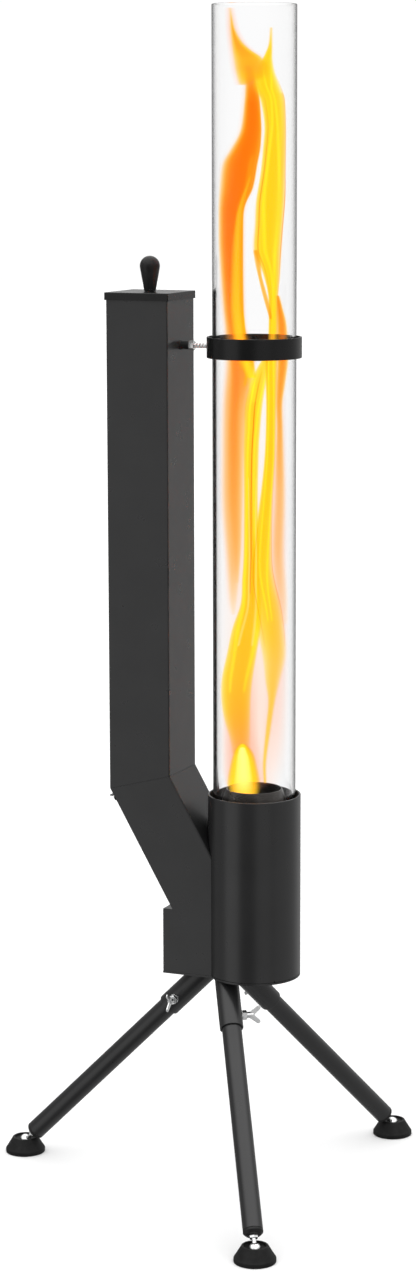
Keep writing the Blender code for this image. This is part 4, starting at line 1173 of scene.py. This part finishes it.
# %% Outlines of the tongues
HEAD = [(1786, -35.2, -34.8), (1772, -34.6, -32.4), (1755, -33.8, -28.5), (1738, -32.4, -19),
        (1726, -31.4, -6), (1716, -30.4, 9), (1706, -29, 16), (1697, -27.5, 17), (1688, -25.5, 13),
        (1681, -23.5, -2), (1676, -21.5, -12)]
LEFT_TONGUE = [(1704, -11.0, -8.0), (1690, -12.5, -0.5), (1672, -13.5, 3.5), (1655, -14.5, 7.0),
               (1621, -18.5, 9.5), (1603, -24, 9.5), (1583, -36, 8.0), (1562, -48, 4.0),
               (1528, -52.5, -2.5), (1499, -54.5, -15), (1460, -55.2, -17.0), (1364, -47.6, -16.6),
               (1320, -43.3, -13.7), (1273, -41.9, -0.4), (1209, -46.4, -12.3), (1135, -48.0, -16.8),
               (1060, -48.2, -18.3), (984, -42.3, -21.4), (916, -37.9, -27.4), (893, -33.4, -30.4)]
LEFT_BRIGHT = [(1545, -8, -3.5), (1505, -23, -14.6), (1480, -30, -16.6), (1438, -35, -17.6),
               (1364, -38, -16.8), (1335, -37, -13.9), (1305, -33, -10.9), (1273, -26, -0.6),
               (1250, -12, 3)]
RIGHT_TONGUE = [(1758, 23.9, 24.8), (1733, 20.7, 25.8), (1712, 11.3, 26.6), (1695, 2.5, 30.2),
                (1680, -1.8, 36.1), (1669, -0.4, 40.5), (1655, 8.4, 44.9), (1619, 14.2, 46.4),
                (1583, 12.1, 46.4), (1547, 8.4, 45.8), (1510, 2.6, 45.1), (1474, 1.1, 42.2),
                (1438, -0.4, 39.4), (1416, 8.5, 37.9), (1394, 15.8, 36.5), (1364, 21.0, 34.3),
                (1305, 20.3, 33.6), (1273, 15.9, 33.7), (1209, 17.4, 32.3), (1135, 15.2, 30.9),
                (1060, 7.1, 27.2), (984, -4.9, 26.6), (947, -7.9, 31.1), (909, -3.4, 40.2),
                (871, 4.1, 46.2), (832, 11.7, 47.8), (794, 16.2, 38.8), (763, 20.7, 31.3),
                (725, 17.8, 25.3), (671, 13.2, 17.8), (637, 14.8, 17.8)]
LEFT_LOW = [(1290, -38, -24), (1240, -36, -20), (1180, -40, -22), (1120, -41, -20), (1060, -40, -20),
            (1000, -34, -19), (940, -30, -22)]
LEFT_PALE = [(1300, -23, -12), (1275, -18, -4), (1255, -15, 2), (1235, -10, 5), (1215, -5, 6)]
PRONG = [(1438, -2.1, 5.5), (1420, 0.4, 9.9), (1401, 4.8, 11.4), (1379, 9.9, 17.3), (1357, 15.9, 23.2),
         (1338, 21.8, 26.2)]
ORANGE_RIGHT = [(1370, 33.6, 36.5), (1350, 33.6, 42.4), (1328, 33.6, 48.4), (1298, 33.6, 50.7),
                (1273, 33.7, 51.4), (1239, 33.0, 46.3), (1209, 33.0, 41.9), (1172, 33.8, 42.7),
                (1127, 32.4, 44.3), (1067, 31.0, 45.9), (984, 28.1, 44.5), (916, 32.6, 50.6),
                (878, 40.2, 52.2)]
CENTRE_TONGUE = [(1288, 20.3, 23.3), (1269, 7.0, 21.8), (1246, -4.8, 18.9), (1209, -14.5, 13.0),
                 (1172, -16.0, 9.3), (1135, -16.8, 7.1), (1060, -16.1, 5.6), (984, -16.9, 7.8),
                 (947, -19.1, 8.6), (909, -21.4, 10.1), (871, -34.2, 10.1), (832, -42.6, 4.1),
                 (794, -50.9, -1.9), (763, -51.7, -4.9), (733, -47.3, -5.7), (702, -38.2, -6.4),
                 (679, -33.7, -8.0)]
ROOT = [(698, -19.0, -15.4), (689, -27.6, -6.4), (679, -31.4, -1.2), (663, -35.3, 2.6), (648, -38.3, 5.7),
        (635, -39.1, 7.2), (624, -35.3, 6.4), (618, -27.7, 1.1)]
HALO = [(1290, -50, 20), (1180, -52, 40), (1000, -50, 44), (860, -52, 50), (760, -54, 50), (680, -52, 48),
        (640, -44, 40), (632, -36, 34)]
HEAD_THICK = ((1786, 0.3), (1770, 2), (1750, 5), (1720, 12), (1690, 12), (1682, 6), (1676, 1))
LEFT_THICK = ((1704, 0.5), (1685, 5), (1650, 14), (1480, 14), (1340, 10), (1280, 5), (1200, 2.6),
              (1100, 2.2), (980, 1.6), (893, 0.3))
CENTRE_THICK = ((1288, 6), (1200, 12), (860, 16), (800, 15), (750, 11), (715, 5), (679, 1))
RIGHT_THICK = ((1758, 6), (1690, 14), (1400, 14), (1000, 13), (880, 7), (820, 4), (760, 4), (637, 3))
GLOW = [(860, -36, 6), (800, -50, 6), (740, -53, 6), (700, -53, 8), (660, -52, 14), (635, -48, 18),
        (622, -42, 16)]
SIDE_GLOW = [(1260, 26, 48), (1120, 20, 50), (1000, 16, 52), (900, 20, 53), (800, 18, 52), (700, 10, 50),
             (650, 8, 44)]
EGG = [(701, -18.6, -16.4), (697, -23.5, -12.0), (689, -27.6, -7.4), (679, -30.4, -3.2), (663, -33.3, 0.6),
       (648, -35.3, 3.2), (635, -36.1, 4.2), (624, -34.3, 3.4), (618, -30, 0)]

# %% Place the tongues and the strands
tongue("flame_head", HEAD, YELLOW_FIRE, depth=-8, thick=HEAD_THICK, grow=1.0, soft=(1.5, 0.5))
tongue("flame_head_edge", HEAD, AMBER_FIRE, depth=-8, thick=((1786, 2), (1700, 8), (1676, 2)), grow=4.0)
tongue("flame_head_rose", HEAD, ROSE_FIRE, depth=-8, thick=((1786, 4), (1700, 16), (1676, 5)), grow=9.0)
tongue("flame_head_orange", HEAD[:6], ORANGE_FIRE, depth=2,
       thick=((1786, 0.5), (1760, 4), (1730, 4), (1706, 0.5)), widen=0.7)
tongue("flame_left", LEFT_TONGUE, ORANGE_FIRE, depth=10, thick=LEFT_THICK, grow=1.0, soft=(2.4, 0.0))
tongue("flame_left_edge", LEFT_TONGUE, AMBER_FIRE, depth=10,
       thick=((1704, 3), (1300, 9), (1000, 5), (893, 0.4)), grow=4.0, soft=(2.0, 1.0))
tongue("flame_left_rose", LEFT_TONGUE, ROSE_FIRE, depth=10,
       thick=((1704, 5), (1250, 12), (960, 6), (893, 0.5)), grow=7.0)
tongue("flame_left_bright", LEFT_BRIGHT, YELLOW_FIRE, depth=-4,
       thick=((1545, 3), (1480, 9), (1300, 13), (1250, 6)), soft=(2.6, 0.0))
tongue("flame_left_gleam", LEFT_BRIGHT, BRIGHT_FIRE, depth=-10, thick=((1545, 1), (1300, 5), (1250, 3)),
       widen=0.75, soft=(2.0, 1.0))
tongue("flame_left_low", LEFT_LOW, ORANGE_FIRE, depth=16, thick=((1290, 3), (1180, 2.6), (940, 0.4)),
       soft=(2.0, 2.0))
tongue("flame_left_pale", LEFT_PALE, BRIGHT_FIRE, depth=-14, thick=((1300, 3), (1215, 2)), soft=(2.0, 2.0))
tongue("flame_right", RIGHT_TONGUE, YELLOW_FIRE, depth=-8, thick=RIGHT_THICK, grow=0.2, soft=(0.6, 1.6))
tongue("flame_right_edge", RIGHT_TONGUE, AMBER_FIRE, depth=-8, thick=((1758, 5), (637, 5)), grow=2.6)
tongue("flame_prong", PRONG, ORANGE_FIRE, depth=-20, thick=((1438, 5), (1338, 5)), soft=(1.0, 1.0))
tongue("flame_orange_right", ORANGE_RIGHT, ORANGE_FIRE, depth=14,
       thick=((1370, 9), (1290, 9), (1200, 5), (1080, 1.6), (878, 0.3)), grow=1.0)
tongue("flame_orange_right_edge", ORANGE_RIGHT, AMBER_FIRE, depth=14,
       thick=((1370, 4), (1000, 5), (878, 0.3)), grow=4)
tongue("flame_centre", CENTRE_TONGUE, YELLOW_FIRE, depth=12, thick=CENTRE_THICK, grow=-0.2, soft=(0.6, 0.6))
tongue("flame_centre_edge", CENTRE_TONGUE, AMBER_FIRE, depth=12,
       thick=((1288, 4), (900, 6), (800, 4), (720, 9), (679, 8)), grow=3.0)
tongue("flame_glow", GLOW, ROSE_FIRE, depth=20, thick=((860, 1), (740, 12), (680, 16), (622, 16)), grow=2)
tongue("flame_side_glow", SIDE_GLOW, ROSE_FIRE, depth=10,
       thick=((1260, 1), (1100, 8), (900, 8), (720, 4), (650, 0.3)), grow=4, soft=(3.0, 3.0))
tongue("flame_root", ROOT, YELLOW_FIRE, depth=-10, thick=((700, 10), (618, 14)), grow=2.0, soft=(0.8, 0.8))
tongue("flame_root_edge", ROOT, AMBER_FIRE, depth=-10, thick=((700, 8), (618, 10)), grow=5)
tongue("flame_egg", EGG, BRIGHT_FIRE, depth=-24, thick=((701, 9), (618, 9)), grow=1.5, soft=(0.6, 0.6))
tongue("flame_egg_core", EGG[1:-1], PALE_FIRE, depth=-32, thick=((697, 8), (650, 7), (630, 2), (618, 1)),
       widen=0.75, soft=(1.5, 1.5))
tongue("flame_halo", HALO, HALO_FIRE, depth=0, thick=((1290, 4), (1100, 14), (760, 40), (632, 34)), grow=4)
strands("flame_left_streak", LEFT_TONGUE[6:15], (0.80,), YELLOW_FIRE, -2, 0.26, 4.0, 0.03)
strands("flame_left_line", LEFT_TONGUE[3:12], (0.985,), STREAK_FIRE, -2, 0.03, 2.0, 0.0)
strands("flame_right_bright", RIGHT_TONGUE[2:25], (0.36, 0.70), BRIGHT_FIRE, -20, 0.22, 3.5, 0.12)
strands("flame_right_gold", RIGHT_TONGUE[5:20], (0.10, 0.88), AMBER_FIRE, -24, 0.30, 5.0, 0.03)
strands("flame_right_streak", RIGHT_TONGUE[3:26], (0.16, 0.97), STREAK_FIRE, -16, 0.05, 2.0, 0.03)
strands("flame_centre_bright", CENTRE_TONGUE[1:14], (0.24, 0.78), BRIGHT_FIRE, -2, 0.24, 4.0, 0.08)
strands("flame_centre_pale", CENTRE_TONGUE[5:12], (0.35, 0.80), PALE_FIRE, -14, 0.16, 2.5, 0.05)
strands("flame_centre_streak", CENTRE_TONGUE[1:10], (0.52,), STREAK_FIRE, 4, 0.10, 3.0)

# %% [markdown]
# ## Floor, light and camera
#
# The heater stands on a plain white floor in a white room. The light comes from the room itself: soft panels of
# different brightness stand all round it and a bright ceiling hangs above. The narrow bright panels draw the
# long streaks on the round pieces, and the dark gaps between them keep black metal black. The camera, and what
# is seen through the glass, get the plain white room.

# %% Floor
floor_shape = bmesh.new()
bmesh.ops.create_circle(floor_shape, cap_ends=True, segments=96, radius=30)
floor = as_object("floor", floor_shape)
floor_finish, _, floor_shader, _ = new_finish("white_floor")
floor_shader.inputs["Base Color"].default_value = (0.86, 0.86, 0.86, 1)
floor_shader.inputs["Roughness"].default_value = 1.0
floor_shader.inputs["Specular IOR Level"].default_value = 0.0
floor.data.materials.append(floor_finish)
floor.visible_diffuse = floor.visible_glossy = floor.visible_transmission = floor.visible_shadow = False

# %% Room
room = bpy.data.worlds.new("white_room")
bpy.context.scene.world = room
room.use_nodes = True
room_nodes, room_links = room.node_tree.nodes, room.node_tree.links


def panels(name, levels, top=1.0):
    """A background that changes round the room by (degrees, level) pairs, and to top overhead."""
    direction = room_nodes.new("ShaderNodeTexCoord")
    parts = room_nodes.new("ShaderNodeSeparateXYZ")
    room_links.new(direction.outputs["Generated"], parts.inputs["Vector"])
    bearing = room_nodes.new("ShaderNodeMath")
    bearing.operation = "ARCTAN2"
    room_links.new(parts.outputs["Y"], bearing.inputs[0])
    room_links.new(parts.outputs["X"], bearing.inputs[1])
    along = room_nodes.new("ShaderNodeMapRange")
    along.inputs["From Min"].default_value = -math.pi
    along.inputs["From Max"].default_value = math.pi
    room_links.new(bearing.outputs[0], along.inputs["Value"])
    ramp = room_nodes.new("ShaderNodeValToRGB")
    ramp.color_ramp.elements.remove(ramp.color_ramp.elements[1])
    for i, (degrees, level) in enumerate(levels):
        at = (degrees + 180) / 360
        stop = ramp.color_ramp.elements[0] if i == 0 else ramp.color_ramp.elements.new(at)
        stop.position = at
        stop.color = (level, level, level, 1)
    room_links.new(along.outputs["Result"], ramp.inputs["Fac"])
    height = room_nodes.new("ShaderNodeMapRange")
    height.inputs["From Min"].default_value = 0.35
    height.inputs["From Max"].default_value = 0.75
    height.inputs["To Min"].default_value = 0
    height.inputs["To Max"].default_value = 1
    room_links.new(parts.outputs["Z"], height.inputs["Value"])
    blend = room_nodes.new("ShaderNodeMix")
    blend.data_type = "RGBA"
    room_links.new(height.outputs["Result"], blend.inputs["Factor"])
    room_links.new(ramp.outputs["Color"], blend.inputs[6])
    blend.inputs[7].default_value = (top, top, top, 1)
    background = room_nodes.new("ShaderNodeBackground")
    background.name = name
    room_links.new(blend.outputs[2], background.inputs["Color"])
    return background


ALL_ROUND = [(-180, 0.26), (-148, 0.30), (-142, 0.86), (-110, 0.86), (-103, 0.14), (-70, 0.14), (-60, 0.56),
             (-30, 0.56), (-26, 0.40), (-18, 0.40), (-14, 0.50), (50, 0.50), (58, 0.60), (76, 0.56),
             (104, 0.38), (107, 0.60), (113, 0.70), (124, 0.78), (134, 0.40), (150, 0.28), (180, 0.26)]
lighting = panels("lighting", ALL_ROUND, 1.9)
seen = room_nodes["Background"]
seen.inputs["Color"].default_value = (1, 1, 1, 1)
seen.inputs["Strength"].default_value = 1.02
room_ray = room_nodes.new("ShaderNodeLightPath")
either_ray = room_nodes.new("ShaderNodeMath")
either_ray.operation = "MAXIMUM"
room_links.new(room_ray.outputs["Is Camera Ray"], either_ray.inputs[0])
room_links.new(room_ray.outputs["Is Transmission Ray"], either_ray.inputs[1])
room_mix = room_nodes.new("ShaderNodeMixShader")
room_links.new(either_ray.outputs[0], room_mix.inputs["Fac"])
room_links.new(lighting.outputs["Background"], room_mix.inputs[1])
room_links.new(seen.outputs["Background"], room_mix.inputs[2])
room_links.new(room_mix.outputs["Shader"], room_nodes["World Output"].inputs["Surface"])


# %% Camera
CAMERA_AWAY, CAMERA_HEIGHT, CAMERA_PITCH = 4.3424, 1.5935, math.radians(9.569)
lens = bpy.data.cameras.new("camera")
lens.sensor_width = 36
lens.lens = 82.85
lens.shift_x = -0.0364
lens.clip_end = 200
camera = bpy.data.objects.new("camera", lens)
bpy.context.scene.collection.objects.link(camera)
camera.location = Vector((GLASS_X, 0, CAMERA_HEIGHT)) - BACKWARD * CAMERA_AWAY
camera.rotation_euler = (math.pi / 2 - CAMERA_PITCH, 0, LOOKING)
bpy.context.scene.camera = camera
bpy.context.scene.view_settings.view_transform = "Standard"
print("camera at", [round(v, 3) for v in camera.location])

# %% [markdown]
# ## Last step
#
# The pieces and their triangles are counted.

# %% Count the pieces
print(len(PIECES), "pieces,", sum(len(o.data.loop_triangles) for o in PIECES), "triangles")
